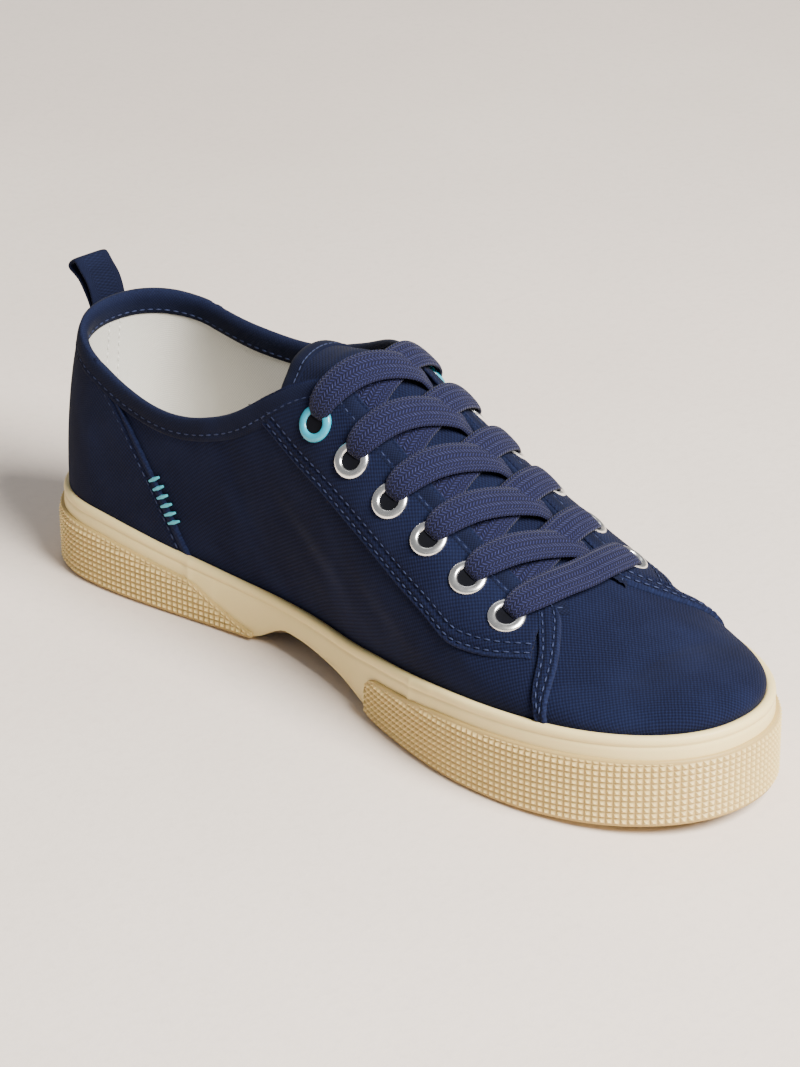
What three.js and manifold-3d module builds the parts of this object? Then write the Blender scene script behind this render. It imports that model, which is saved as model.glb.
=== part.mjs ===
// A low canvas sneaker for the left foot, laced over six pairs of eyelets, on a cream rubber sole.
// Millimetres. x runs from the back of the heel to the toe, y to the outer (lateral) side, z up.
// Every ring of the shoe is worked out from one plan outline and one body form, so that the sole,
// the foxing, the upper, the insole and the tongue follow each other with a small, even gap.
import * as THREE from 'three';
import { mergeVertices } from 'three/addons/utils/BufferGeometryUtils.js';
import Module from 'manifold-3d';

const wasm = await Module();
wasm.setup();

// ---- Driving dimensions ----
const LENGTH = 271.5;             // whole sole, heel to toe
const HEEL_X = -1.2;              // x of the back of the sole
const STATIONS = 76;              // points round the plan outline; an even number
const GAP = 0.3;                  // clearance between pieces that touch in the real shoe

// Plan outline of the whole sole, bumpers included, as half widths either side of the centre line
const HEEL_HALF_WIDTH = 33.5;
const HEEL_ROUND = 0.12;          // share of the length taken by the round of the heel
const WAIST_AT = 0.39;
const SIDES = {
  medial: { sign: -1, waist: 25.6, ball: 43.8, ballAt: 0.75 },
  lateral: { sign: 1, waist: 39.6, ball: 46.5, ballAt: 0.68 },
};
const TOE_TIP_Y = -1.9;           // the toe tip lies a little to the big-toe side
const TOE_POWER = 2.15;           // fullness of the toe's arc; 2 is an ellipse

// Sole: share of the length, top of the foxing band and underside of the rim on each side, and seat
const SOLE_ROWS = [
  { at: 0.00, bandMedial: 26.0, bandLateral: 26.0, edgeMedial: 0, edgeLateral: 0, seat: 14.5 },
  { at: 0.12, bandMedial: 24.8, bandLateral: 24.8, edgeMedial: 0, edgeLateral: 0, seat: 14.0 },
  { at: 0.26, bandMedial: 20.0, bandLateral: 22.0, edgeMedial: 0, edgeLateral: 0, seat: 13.0 },
  { at: 0.35, bandMedial: 17.4, bandLateral: 20.4, edgeMedial: 0.6, edgeLateral: 0, seat: 12.3 },
  { at: 0.41, bandMedial: 16.8, bandLateral: 20.0, edgeMedial: 7.6, edgeLateral: 2.5, seat: 12.0 },
  { at: 0.50, bandMedial: 17.2, bandLateral: 20.4, edgeMedial: 5.6, edgeLateral: 2.0, seat: 11.5 },
  { at: 0.60, bandMedial: 20.8, bandLateral: 22.4, edgeMedial: 0, edgeLateral: 0, seat: 11.5 },
  { at: 0.72, bandMedial: 25.4, bandLateral: 25.6, edgeMedial: 0, edgeLateral: 0, seat: 11.5 },
  { at: 0.77, bandMedial: 26.4, bandLateral: 26.4, edgeMedial: 0, edgeLateral: 0, seat: 11.5 },
  { at: 0.88, bandMedial: 28.2, bandLateral: 28.2, edgeMedial: 1.2, edgeLateral: 1.2, seat: 13.0 },
  { at: 1.00, bandMedial: 30.5, bandLateral: 30.5, edgeMedial: 4.2, edgeLateral: 4.2, seat: 16.5 },
];
const BAND_THICKNESS = 2.5;
const BAND_LIFT = 1.0;            // the band's lower edge stands this far above the sole's underside
const BAND_ROUND = 0.8;           // rounding of the band's top edge
const BUMPER_THICKNESS = 1.6;
const BUMPER_BELOW_BAND = 6.5;    // smooth band left showing above a bumper
const BUMPER_STEP = 1;            // stations between the bumpers' own sections
const BUMPER_CORNER = 6;          // rounded top corner of the toe bumper, in mm along the rim
const TOE_BUMPER_FROM = { lateral: 133, medial: 153 };
const HEEL_BUMPER_TO = { lateral: 86, medial: 96 };
const HEEL_BUMPER_SLOPE = 24;     // length of the heel bumper's diagonal end
const BAND_INSET = BUMPER_THICKNESS + GAP;
const OUTSOLE_INSET = BAND_INSET + BAND_THICKNESS + GAP;

// Tread: V-shaped grooves across the heel and the forefoot, inside a plain rim
const GROOVE_WIDTH = 2.6;
const GROOVE_DEPTH = 2.0;
const GROOVE_PITCH = 9;
const GROOVE_POINT = 7;           // how far the middle of each groove points forwards
const GROOVE_RIM = 7;
const GROOVE_FIELDS = [{ from: 18, to: 66 }, { from: 160, to: 240 }];

// Insole
const INSOLE_INSET = OUTSOLE_INSET + 3.5;
const INSOLE_THICKNESS = 3.5;

// Upper: a shell between an outer and an inner form
const WALL = 1.8;
const TURNS = 10;                 // steps of each rib from the band's top to the crest line
const CREST_BACK = 30;            // the ribs of the heel gather at this x
const CREST_FRONT = 238;          // and those of the toe at this one
const CREST_ROWS = [
  { at: 0.08, height: 110 },
  { at: 0.26, height: 120 },
  { at: 0.46, height: 95 },
  { at: 0.60, height: 71.5 },
  { at: 0.75, height: 50 },
  { at: 0.83, height: 42 },
  { at: 0.90, height: 37 },
];
const BULGE_ROWS = [
  { at: 0.00, medial: 0, lateral: 0 },
  { at: 0.12, medial: 0.6, lateral: 0.4 },
  { at: 0.26, medial: 6.2, lateral: 1.5 },
  { at: 0.46, medial: 8.6, lateral: 1.0 },
  { at: 0.60, medial: 5.0, lateral: 1.0 },
  { at: 0.75, medial: 1.6, lateral: 0.8 },
  { at: 0.88, medial: 0.6, lateral: 0.6 },
  { at: 1.00, medial: 1.6, lateral: 1.6 },
];

// Collar line, from behind the heel to the front of the facings' rounded top corners: its height on
// each side of the shoe
const COLLAR_ROWS = [
  { x: -14, medial: 81, lateral: 81 },
  { x: 4, medial: 80, lateral: 80.5 },
  { x: 20, medial: 74.8, lateral: 77 },
  { x: 44, medial: 67.6, lateral: 72.2 },
  { x: 68, medial: 65.6, lateral: 71 },
  { x: 88, medial: 71, lateral: 77 },
  { x: 104, medial: 81.2, lateral: 84.6 },
  { x: 113, medial: 86.8, lateral: 88 },
  { x: 121, medial: 89.2, lateral: 89.4 },
  { x: 128, medial: 88.4, lateral: 88.4 },
  { x: 134, medial: 84, lateral: 84 },
];
const COLLAR_SIDE_Y = 25;         // the heights hold at this distance from the centre line
const COLLAR_STEPS = 30;

// Throat between the facings, seen from above
const THROAT = { top: 98, end: 209, topHalf: 12.2, endHalf: 15, round: 12 };

// Eyelets: six to a side, spaced evenly from the top pair to the pair at the toe end
const EYELETS = 6;
const EYELET_TOP = { x: 124.2, y: 22.1 };
const EYELET_END = { x: 201.1, y: 25.1 };
const EYELET_FLANGE = 5.5;
const EYELET_HOLE = 3.0;
const EYELET_BARREL = 3.5;
const EYELET_RISE = 1.0;
const EYELET_SEGMENTS = 12;

// Laces: flat braid; each crossing has a strip on top and one under it
const LACE_WIDTH = 10.4;
const LACE_THICKNESS = 1.6;
const LACE_END_WIDTH = 6.2;       // the braid bunches where it dives into an eyelet
const LACE_STEPS = 12;
const LACE_ADVANCE = 9.6;         // a strip lands this far nearer the toe than it starts
const LACE_SIDE_GAP = 1.4;        // from a strip's far end to the facing's edge
const LACE_OVER = [
  { at: 0, lift: 2.4 }, { at: 0.28, lift: 3.0 }, { at: 0.66, lift: 1.5 }, { at: 1, lift: -0.95 },
];
const LACE_UNDER = [
  { at: 0, lift: 2.4 }, { at: 0.28, lift: 2.4 }, { at: 0.66, lift: 0 }, { at: 1, lift: -0.95 },
];
const LACE_BAR_BOW = 3.2;         // the straight bar bows this far towards the toe
const LACE_STRAIGHT = [
  { at: 0, lift: 2.4 }, { at: 0.3, lift: 3.0 }, { at: 0.5, lift: 2.6 }, { at: 0.7, lift: 3.0 }, { at: 1, lift: 2.4 },
];

// Tongue
const TONGUE_THICKNESS = 2.4;
const TONGUE_GAP = 0.5;
const TONGUE_HALF_WIDTH = 28;
const TONGUE_TOP = 98.5;
const TONGUE_END = 216;
const TONGUE_CORNER = 13;
const TONGUE_DROP_ROWS = [        // the free end sinks back from the body form
  { at: 0.340, drop: 23 },
  { at: 0.380, drop: 16.2 },
  { at: 0.409, drop: 10.2 },
  { at: 0.432, drop: 5.4 },
  { at: 0.462, drop: 1.6 },
  { at: 0.500, drop: 0 },
];
const TONGUE_TURNS_LEFT_OFF = 4;  // ribs left off at each side

// Pull loop of folded webbing, stitched outside the back of the heel
const LOOP = { width: 13, thickness: 1.3, foot: 63, collar: 79, top: 90, lean: 9, hollow: 2.4 };

// ---- Small helpers ----

// Smooth step from 0 to 1
function ease(t) {
  const s = Math.min(Math.max(t, 0), 1);
  return s * s * (3 - 2 * s);
}

function mix(a, b, t) {
  return a + (b - a) * t;
}

// Value of one column of a table at a place between its rows. The slope at a row is never steeper
// than its neighbours allow, so that a flat stretch stays flat.
function rowValue(rows, at, key) {
  const last = rows.length - 1;
  if (at <= rows[0].at) return rows[0][key];
  if (at >= rows[last].at) return rows[last][key];
  const i = rows.findIndex((row) => row.at > at) - 1;
  const slope = (k) => (rows[k + 1][key] - rows[k][key]) / (rows[k + 1].at - rows[k].at);
  const tangent = (k) => {
    if (k === 0) return slope(0);
    if (k === last) return slope(last - 1);
    const before = slope(k - 1);
    const after = slope(k);
    return before * after <= 0 ? 0 : (2 * before * after) / (before + after);
  };
  const span = rows[i + 1].at - rows[i].at;
  const t = (at - rows[i].at) / span;
  const fromHere = ease(t);
  return mix(rows[i][key], rows[i + 1][key], fromHere)
    + span * t * (1 - t) * ((1 - t) * tangent(i) - t * tangent(i + 1));
}

// ---- Plan outline ----

// Half width of one side at a share of the length, up to the ball
function halfWidth(at, side) {
  if (at < HEEL_ROUND) {
    const back = (HEEL_ROUND - at) / HEEL_ROUND;
    return HEEL_HALF_WIDTH * (1 - back ** 2.3) ** (1 / 2.1);
  }
  if (at < WAIST_AT) {
    return mix(HEEL_HALF_WIDTH, side.waist, ease((at - HEEL_ROUND) / (WAIST_AT - HEEL_ROUND)));
  }
  return mix(side.waist, side.ball, ease((at - WAIST_AT) / (side.ballAt - WAIST_AT)));
}

// A station counts round the outline: 0 at the heel, along the lateral side to the toe, and back
function sideAt(station) {
  const turn = ((station % STATIONS) + STATIONS) % STATIONS;
  return turn <= STATIONS / 2 ? 'lateral' : 'medial';
}

function shareOf(x) {
  return (x - HEEL_X) / LENGTH;
}

function shareAt(station) {
  return (1 - Math.cos((2 * Math.PI * station) / STATIONS)) / 2;
}

function outline(station) {
  const at = shareAt(station);
  const side = SIDES[sideAt(station)];
  const x = HEEL_X + at * LENGTH;
  if (at <= side.ballAt) return new THREE.Vector2(x, side.sign * halfWidth(at, side));
  const t = Math.min((at - side.ballAt) / (1 - side.ballAt), 1);
  const arc = (1 - t ** TOE_POWER) ** (1 / TOE_POWER);
  return new THREE.Vector2(x, mix(TOE_TIP_Y, side.sign * side.ball, arc));
}

// Inward normal of the outline
function inward(station) {
  const reach = 0.05;
  const along = outline(station + reach).sub(outline(station - reach)).normalize();
  return new THREE.Vector2(along.y, -along.x);
}

function insetOutline(station, inset) {
  return outline(station).addScaledVector(inward(station), inset);
}

// Column of the sole's table at a station; on the centre line the two sides agree
function soleValue(station, name) {
  const side = sideAt(station) === 'medial' ? 'Medial' : 'Lateral';
  return rowValue(SOLE_ROWS, shareAt(station), name + side);
}

function seatHeight(station) {
  return rowValue(SOLE_ROWS, shareAt(station), 'seat');
}

// Station of an x on one side
function stationOf(x, side) {
  const station = (Math.acos(1 - 2 * shareOf(x)) * STATIONS) / (2 * Math.PI);
  return side === 'medial' ? STATIONS - station : station;
}

// ---- Body form ----

function crestPoint(station, inset) {
  const x = Math.min(Math.max(outline(station).x, CREST_BACK), CREST_FRONT);
  const at = shareOf(x);
  return new THREE.Vector3(x, TOE_TIP_Y * at ** 4, rowValue(CREST_ROWS, at, 'height') - inset);
}

// Point of the body form on the rib of a station. turn goes from 0 at the band's top to a quarter
// circle at the crest; inset moves the whole form inwards.
function formPoint(station, turn, inset) {
  const foot = insetOutline(station, OUTSOLE_INSET + inset);
  const crest = crestPoint(station, inset);
  const base = soleValue(station, 'band');
  const bulge = rowValue(BULGE_ROWS, shareAt(station), sideAt(station)) * Math.sin(2 * turn);
  const out = inward(station).multiplyScalar(-bulge);
  const across = 1 - Math.cos(turn);
  return new THREE.Vector3(
    mix(foot.x, crest.x, across) + out.x,
    mix(foot.y, crest.y, across) + out.y,
    base + (crest.z - base) * Math.sin(turn),
  );
}

// Point above the form where it is seen from straight over (x, y), and its outward normal
function surfaceAt(x, y) {
  const side = y < 0 ? 'medial' : 'lateral';
  const station = stationOf(x, side);
  let low = Math.PI / 7;
  let high = Math.PI / 2;
  for (let step = 0; step < 30; step += 1) {
    const middle = (low + high) / 2;
    const reach = Math.abs(formPoint(station, middle, 0).y);
    if (reach > Math.abs(y)) low = middle;
    else high = middle;
  }
  return formPoint(station, (low + high) / 2, 0);
}

function surfaceFrame(x, y) {
  const step = 1.5;
  const point = surfaceAt(x, y);
  const along = surfaceAt(x + step, y).sub(surfaceAt(x - step, y)).normalize();
  const across = surfaceAt(x, y + step).sub(surfaceAt(x, y - step)).normalize();
  const normal = new THREE.Vector3().crossVectors(along, across).normalize();
  return { point, along, normal };
}

// ---- Solids ----

// Closed solid through a row of sections with equally many points. A section is a closed loop whose
// second half runs back beside its first, so that an end is capped by a strip between the halves.
function loft(sections, endless = false) {
  const count = sections[0].length;
  const spans = endless ? sections.length : sections.length - 1;
  const index = [];
  for (let i = 0; i < spans; i += 1) {
    const here = i * count;
    const next = ((i + 1) % sections.length) * count;
    for (let k = 0; k < count; k += 1) {
      const l = (k + 1) % count;
      index.push(here + k, here + l, next + l, here + k, next + l, next + k);
    }
  }
  const cap = (start, forward) => {
    for (let k = 0; k < count / 2 - 1; k += 1) {
      const quad = [k, k + 1, count - 2 - k, count - 1 - k].map((p) => start + p);
      if (forward) quad.reverse();
      index.push(quad[0], quad[3], quad[2], quad[0], quad[2], quad[1]);
    }
  };
  if (!endless) {
    cap(0, false);
    cap((sections.length - 1) * count, true);
  }
  const geometry = new THREE.BufferGeometry();
  const positions = sections.flat().flatMap((point) => [point.x, point.y, point.z]);
  geometry.setAttribute('position', new THREE.Float32BufferAttribute(positions, 3));
  geometry.setIndex(index);
  return solidOf(geometry);
}

// manifold solid of any closed geometry, turned the right way out
function solidOf(geometry) {
  const bare = geometry.clone();
  bare.deleteAttribute('normal');
  bare.deleteAttribute('uv');
  const merged = mergeVertices(bare, 1e-4);
  const position = merged.getAttribute('position').array;
  const corner = (k) => new THREE.Vector3().fromArray(position, 3 * k);
  const triangles = [];
  let volume = 0;
  const index = merged.getIndex().array;
  for (let k = 0; k < index.length; k += 3) {
    const [a, b, c] = [index[k], index[k + 1], index[k + 2]];
    if (a !== b && b !== c && c !== a) {
      triangles.push([a, b, c]);
      volume += corner(a).dot(corner(b).cross(corner(c)));
    }
  }
  const triVerts = triangles.flatMap(([a, b, c]) => (volume > 0 ? [a, b, c] : [a, c, b]));
  return new wasm.Manifold(new wasm.Mesh({
    numProp: 3,
    vertProperties: Float32Array.from(position),
    triVerts: Uint32Array.from(triVerts),
  }));
}

function geometryOf(solid) {
  const mesh = solid.getMesh();
  const geometry = new THREE.BufferGeometry();
  geometry.setAttribute('position', new THREE.Float32BufferAttribute(mesh.vertProperties, 3));
  geometry.setIndex(Array.from(mesh.triVerts));
  geometry.computeVertexNormals();
  return geometry;
}

// Prism over a plan outline, between two heights
function planPrism(shape, low, high) {
  const geometry = new THREE.ExtrudeGeometry(shape, { depth: high - low, bevelEnabled: false });
  geometry.translate(0, 0, low);
  return solidOf(geometry);
}

// Stations from the heel to the toe, for solids made of pairs of points across the shoe
function halfStations() {
  return Array.from({ length: STATIONS / 2 + 1 }, (_, i) => i);
}

// ---- Sole ----

// Slab whose section at each station pair has an underside and a top
function slab(inset, bottomAt, topAt) {
  return loft(halfStations().map((i) => {
    const pair = [i, STATIONS - i];
    const [lateral, medial] = pair.map((station) => insetOutline(station, inset));
    const low = pair.map(bottomAt);
    const high = pair.map(topAt);
    return [
      new THREE.Vector3(lateral.x, lateral.y, low[0]),
      new THREE.Vector3(lateral.x, lateral.y, high[0]),
      new THREE.Vector3(medial.x, medial.y, high[1]),
      new THREE.Vector3(medial.x, medial.y, low[1]),
    ];
  }));
}

// One V-shaped groove, pointing to the toe
function groove(x) {
  const reach = 60;
  const back = x - GROOVE_WIDTH / 2;
  const front = x + GROOVE_WIDTH / 2;
  const shape = new THREE.Shape([
    new THREE.Vector2(back - GROOVE_POINT, -reach),
    new THREE.Vector2(front - GROOVE_POINT, -reach),
    new THREE.Vector2(front, 0),
    new THREE.Vector2(front - GROOVE_POINT, reach),
    new THREE.Vector2(back - GROOVE_POINT, reach),
    new THREE.Vector2(back, 0),
  ]);
  const underside = rowValue(SOLE_ROWS, shareOf(x), 'edgeLateral');
  return planPrism(shape, -GROOVE_DEPTH * 3, underside + GROOVE_DEPTH);
}

function buildOutsole() {
  const base = slab(OUTSOLE_INSET, (s) => soleValue(s, 'edge'), seatHeight);
  const field = slab(OUTSOLE_INSET + GROOVE_RIM, () => -GROOVE_DEPTH * 4, () => 2 * GROOVE_DEPTH + 4);
  const grooves = GROOVE_FIELDS.flatMap(({ from, to }) => {
    const count = Math.floor((to - from) / GROOVE_PITCH) + 1;
    return Array.from({ length: count }, (_, k) => groove(from + k * GROOVE_PITCH));
  });
  const tread = grooves.reduce((all, one) => all.add(one)).intersect(field);
  return base.subtract(tread);
}

function buildFoxingBand() {
  return loft(Array.from({ length: STATIONS }, (_, station) => {
    const low = soleValue(station, 'edge') + BAND_LIFT;
    const high = soleValue(station, 'band') - GAP;
    const outer = insetOutline(station, BAND_INSET);
    const shoulder = insetOutline(station, BAND_INSET + BAND_ROUND);
    const inner = insetOutline(station, BAND_INSET + BAND_THICKNESS);
    return [
      new THREE.Vector3(inner.x, inner.y, low),
      new THREE.Vector3(outer.x, outer.y, low),
      new THREE.Vector3(outer.x, outer.y, high - BAND_ROUND),
      new THREE.Vector3(shoulder.x, shoulder.y, high),
      new THREE.Vector3(mix(inner.x, shoulder.x, 0.5), mix(inner.y, shoulder.y, 0.5), high),
      new THREE.Vector3(inner.x, inner.y, high),
    ];
  }), true);
}

// Strip outside the band between two stations. heightShare gives its height, as a share of the
// full one, at a distance in mm from each end.
function buildBumper(fromStation, toStation, heightShare) {
  const sections = [];
  const count = Math.round((toStation - fromStation) / BUMPER_STEP);
  const places = Array.from({ length: count + 1 }, (_, k) => fromStation + k * BUMPER_STEP);
  const ends = [places[0], places[count]].map(outline);
  for (const station of places) {
    const here = outline(station);
    const share = heightShare(Math.min(here.distanceTo(ends[0]), here.distanceTo(ends[1])));
    const low = soleValue(station, 'edge') + BAND_LIFT / 2;
    const full = soleValue(station, 'band') - BUMPER_BELOW_BAND;
    const high = mix(low, full, share);
    const inner = insetOutline(station, BUMPER_THICKNESS);
    const outer = outline(station);
    sections.push([
      new THREE.Vector3(inner.x, inner.y, low),
      new THREE.Vector3(outer.x, outer.y, low),
      new THREE.Vector3(outer.x, outer.y, high - Math.min(BAND_ROUND, (high - low) / 2)),
      new THREE.Vector3(inner.x, inner.y, high),
    ]);
  }
  return loft(sections);
}

function buildToeBumper() {
  const from = stationOf(TOE_BUMPER_FROM.lateral, 'lateral');
  const to = stationOf(TOE_BUMPER_FROM.medial, 'medial');
  const shoulder = 0.74;          // height left at the very end, below the rounded corner
  return buildBumper(from, to, (distance) => {
    const back = 1 - Math.min(distance / BUMPER_CORNER, 1);
    return mix(shoulder, 1, Math.sqrt(1 - back * back));
  });
}

function buildHeelBumper() {
  const from = stationOf(HEEL_BUMPER_TO.medial, 'medial') - STATIONS;
  const to = stationOf(HEEL_BUMPER_TO.lateral, 'lateral');
  const tip = 0.12;
  return buildBumper(from, to, (distance) => mix(tip, 1, Math.min(distance / HEEL_BUMPER_SLOPE, 1)));
}

function buildInsole() {
  const lift = (height) => (station) => seatHeight(station) + GAP + height;
  return slab(INSOLE_INSET, lift(0), lift(INSOLE_THICKNESS));
}

// ---- Upper ----

// Solid form of the foot's space: a rib up the lateral side to the crest, and down the medial one.
// lowAt gives the height of its underside.
function bodyForm(inset, lowAt) {
  return loft(halfStations().map((i) => {
    const ribs = [i, STATIONS - i].map((station) => {
      const foot = insetOutline(station, OUTSOLE_INSET + inset);
      const rib = [new THREE.Vector3(foot.x, foot.y, lowAt(station))];
      for (let k = 0; k <= TURNS; k += 1) {
        rib.push(formPoint(station, (k / TURNS) * (Math.PI / 2), inset));
      }
      return rib;
    });
    return [...ribs[0], ...ribs[1].reverse()];
  }));
}

// Everything above the collar line
function collarCutter() {
  const reach = 75;
  const sky = 220;
  const sideLine = (side) => {
    const points = COLLAR_ROWS.map((row) => new THREE.Vector2(row.x, row[side]));
    return new THREE.SplineCurve(points).getPoints(COLLAR_STEPS);
  };
  const medial = sideLine('medial');
  const lateral = sideLine('lateral');
  return loft(medial.map(({ x, y: medialHeight }, k) => {
    const middle = (medialHeight + lateral[k].y) / 2;
    const slope = (lateral[k].y - medialHeight) / 2 / COLLAR_SIDE_Y;
    return [
      new THREE.Vector3(x, -reach, middle - slope * reach),
      new THREE.Vector3(x, reach, middle + slope * reach),
      new THREE.Vector3(x, reach, sky),
      new THREE.Vector3(x, -reach, sky),
    ];
  }));
}

// Throat opening, seen from above: straight facings and a rounded end at the vamp
function throatCutter() {
  const { top, end, topHalf, endHalf, round } = THROAT;
  const shape = new THREE.Shape();
  shape.moveTo(top, -topHalf);
  shape.lineTo(end - round, -endHalf);
  shape.quadraticCurveTo(end, -endHalf, end, 0);
  shape.quadraticCurveTo(end, endHalf, end - round, endHalf);
  shape.lineTo(top, topHalf);
  shape.closePath();
  return planPrism(shape, 32, 220);
}

function eyeletPlaces() {
  const places = [];
  for (let row = 0; row < EYELETS; row += 1) {
    const share = row / (EYELETS - 1);
    const x = mix(EYELET_TOP.x, EYELET_END.x, share);
    const y = mix(EYELET_TOP.y, EYELET_END.y, share);
    places.push({ name: `medial_${row + 1}`, row, x, y: -y });
    places.push({ name: `lateral_${row + 1}`, row, x, y });
  }
  return places;
}

// Turns a geometry made about the z axis so that it stands on the form at a place
function standOnForm(geometry, { x, y }) {
  const { point, normal } = surfaceFrame(x, y);
  const turn = new THREE.Quaternion().setFromUnitVectors(new THREE.Vector3(0, 0, 1), normal);
  geometry.applyQuaternion(turn);
  geometry.translate(point.x, point.y, point.z);
  return geometry;
}

function eyeletHole(place) {
  const depth = 12;
  const geometry = new THREE.CylinderGeometry(
    EYELET_BARREL + GAP, EYELET_BARREL + GAP, depth, EYELET_SEGMENTS,
  );
  geometry.rotateX(Math.PI / 2);
  return solidOf(standOnForm(geometry, place));
}

function buildUpper() {
  const outer = bodyForm(0, (station) => seatHeight(station) + GAP);
  const inner = bodyForm(WALL, (station) => seatHeight(station) - 4);
  const holes = eyeletPlaces().map(eyeletHole);
  return [collarCutter(), throatCutter(), ...holes].reduce(
    (body, cutter) => body.subtract(cutter),
    outer.subtract(inner),
  );
}

function buildTongue() {
  const outerInset = WALL + TONGUE_GAP;
  const insets = [outerInset, outerInset + TONGUE_THICKNESS];
  const sections = [];
  for (let i = 0; i <= STATIONS / 2; i += 1) {
    const x = outline(i).x;
    if (x > TONGUE_TOP - 10 && x < TONGUE_END) {
      const [over, under] = insets.map((inset) => {
        const turns = [];
        for (let k = TONGUE_TURNS_LEFT_OFF; k <= TURNS; k += 1) turns.push((k / TURNS) * (Math.PI / 2));
        const pointAt = (station, turn) => {
          const point = formPoint(station, turn, inset);
          point.z -= rowValue(TONGUE_DROP_ROWS, shareAt(station), 'drop') * Math.sin(turn);
          return point;
        };
        const lateral = turns.map((turn) => pointAt(i, turn));
        const medial = turns.slice(0, -1).map((turn) => pointAt(STATIONS - i, turn));
        return [...lateral, ...medial.reverse()];
      });
      sections.push([...over, ...under.reverse()]);
    }
  }
  const shape = new THREE.Shape();
  shape.moveTo(TONGUE_END + 10, -TONGUE_HALF_WIDTH);
  shape.lineTo(TONGUE_TOP + TONGUE_CORNER, -TONGUE_HALF_WIDTH);
  shape.quadraticCurveTo(TONGUE_TOP, -TONGUE_HALF_WIDTH, TONGUE_TOP, 0);
  shape.quadraticCurveTo(TONGUE_TOP, TONGUE_HALF_WIDTH, TONGUE_TOP + TONGUE_CORNER, TONGUE_HALF_WIDTH);
  shape.lineTo(TONGUE_END + 10, TONGUE_HALF_WIDTH);
  shape.closePath();
  return loft(sections).intersect(planPrism(shape, 20, 220));
}

// Flat strap through a row of frames, each with a point, a width direction and a normal
function strap(frames, thickness) {
  return loft(frames.map(({ point, side, normal, width }) => {
    const corner = (across, up) => point.clone()
      .addScaledVector(side, (across * width) / 2)
      .addScaledVector(normal, (up * thickness) / 2);
    return [corner(-1, -1), corner(-1, 1), corner(1, 1), corner(1, -1)];
  }));
}

// Webbing from its foot on the heel up over the collar, round the top and down again
function buildPullLoop() {
  const { width, thickness, foot, collar, top, lean, hollow } = LOOP;
  const heelX = (z) => {
    const rib = Array.from({ length: 40 }, (_, k) => formPoint(0, (k / 40) * (Math.PI / 2), 0));
    const above = rib.find((point) => point.z >= z);
    return above.x;
  };
  const against = (z, layer) => heelX(z) - 2 * GAP - thickness / 2 - layer * (thickness + GAP);
  const middle = (foot + collar) / 2;
  const rise = top - collar;
  const turn = hollow / 2 + thickness;
  const line = new THREE.CatmullRomCurve3([
    new THREE.Vector3(against(foot, 1), 0, foot),
    new THREE.Vector3(against(middle, 1), 0, middle),
    new THREE.Vector3(against(collar, 1) - 0.3, 0, collar - 3),
    new THREE.Vector3(against(collar, 1) - 0.45 * lean - hollow / 2, 0, collar + 0.45 * rise),
    new THREE.Vector3(against(collar, 1) - lean - turn / 2, 0, top - turn),
    new THREE.Vector3(against(collar, 1) - lean + turn / 2, 0, top),
    new THREE.Vector3(against(collar, 1) - lean + 1.6 * turn, 0, top - turn),
    new THREE.Vector3(against(collar, 0) - 0.3 * lean, 0, collar + 0.4 * rise),
    new THREE.Vector3(against(collar, 0), 0, collar - 2),
    new THREE.Vector3(against(middle, 0), 0, middle),
    new THREE.Vector3(against(foot, 0), 0, foot),
  ]);
  const side = new THREE.Vector3(0, 1, 0);
  const steps = 26;
  const frames = Array.from({ length: steps + 1 }, (_, k) => {
    const normal = line.getTangentAt(k / steps).cross(side).normalize();
    return { point: line.getPointAt(k / steps), side, normal, width };
  });
  return strap(frames, thickness);
}

// ---- Eyelets and laces ----

function buildEyelet(place) {
  const base = GAP + 0.05;
  const profile = [
    [EYELET_HOLE, -WALL + 0.3],
    [EYELET_BARREL, -WALL + 0.3],
    [EYELET_BARREL, base],
    [EYELET_FLANGE, base],
    [EYELET_FLANGE - 0.3, base + 0.55 * EYELET_RISE],
    [mix(EYELET_HOLE, EYELET_FLANGE, 0.5), base + EYELET_RISE],
    [EYELET_HOLE, base + 0.55 * EYELET_RISE],
    [EYELET_HOLE, -WALL + 0.3],
  ].map(([radius, height]) => new THREE.Vector2(radius, height));
  const geometry = new THREE.LatheGeometry(profile, EYELET_SEGMENTS);
  geometry.rotateX(Math.PI / 2);
  return solidOf(standOnForm(geometry, place));
}

// Strip of lace from one place to another, following the form at the heights of a table
function laceStrip(from, to, lifts, widths, bow = 0) {
  const frames = Array.from({ length: LACE_STEPS + 1 }, (_, k) => {
    const at = k / LACE_STEPS;
    const x = mix(from.x, to.x, at) + bow * Math.sin(Math.PI * at);
    const { point, along, normal } = surfaceFrame(x, mix(from.y, to.y, at));
    point.addScaledVector(normal, rowValue(lifts, at, 'lift'));
    return { point, side: along, normal, width: widths(at) };
  });
  return strap(frames, LACE_THICKNESS);
}

function throatHalf(x) {
  return mix(THROAT.topHalf, THROAT.endHalf, (x - THROAT.top) / (THROAT.end - THROAT.top));
}

// Crossing of one row: each strip leaves its eyelet, crosses towards the toe and tucks in beside the
// opposite facing. The medial strip lies on top.
function buildLaceCross(row, places) {
  const strip = (name, lifts) => {
    const from = places.find((place) => place.name === `${name}_${row}`);
    const x = from.x + LACE_ADVANCE;
    const y = -Math.sign(from.y) * (throatHalf(x) - LACE_SIDE_GAP);
    const widths = (at) => mix(LACE_END_WIDTH, LACE_WIDTH, ease(at / 0.3));
    return laceStrip(from, { x, y }, lifts, widths);
  };
  return strip('medial', LACE_OVER).add(strip('lateral', LACE_UNDER));
}

function buildLaceBar(places) {
  const [medial, lateral] = places.filter((place) => place.row === EYELETS - 1);
  const widths = (at) => mix(LACE_END_WIDTH, LACE_WIDTH, ease(Math.min(at, 1 - at) / 0.25));
  return laceStrip(medial, lateral, LACE_STRAIGHT, widths, LACE_BAR_BOW);
}

// ---- The shoe ----

function material(color, roughness, metalness) {
  return new THREE.MeshStandardMaterial({ color, roughness, metalness });
}

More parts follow.
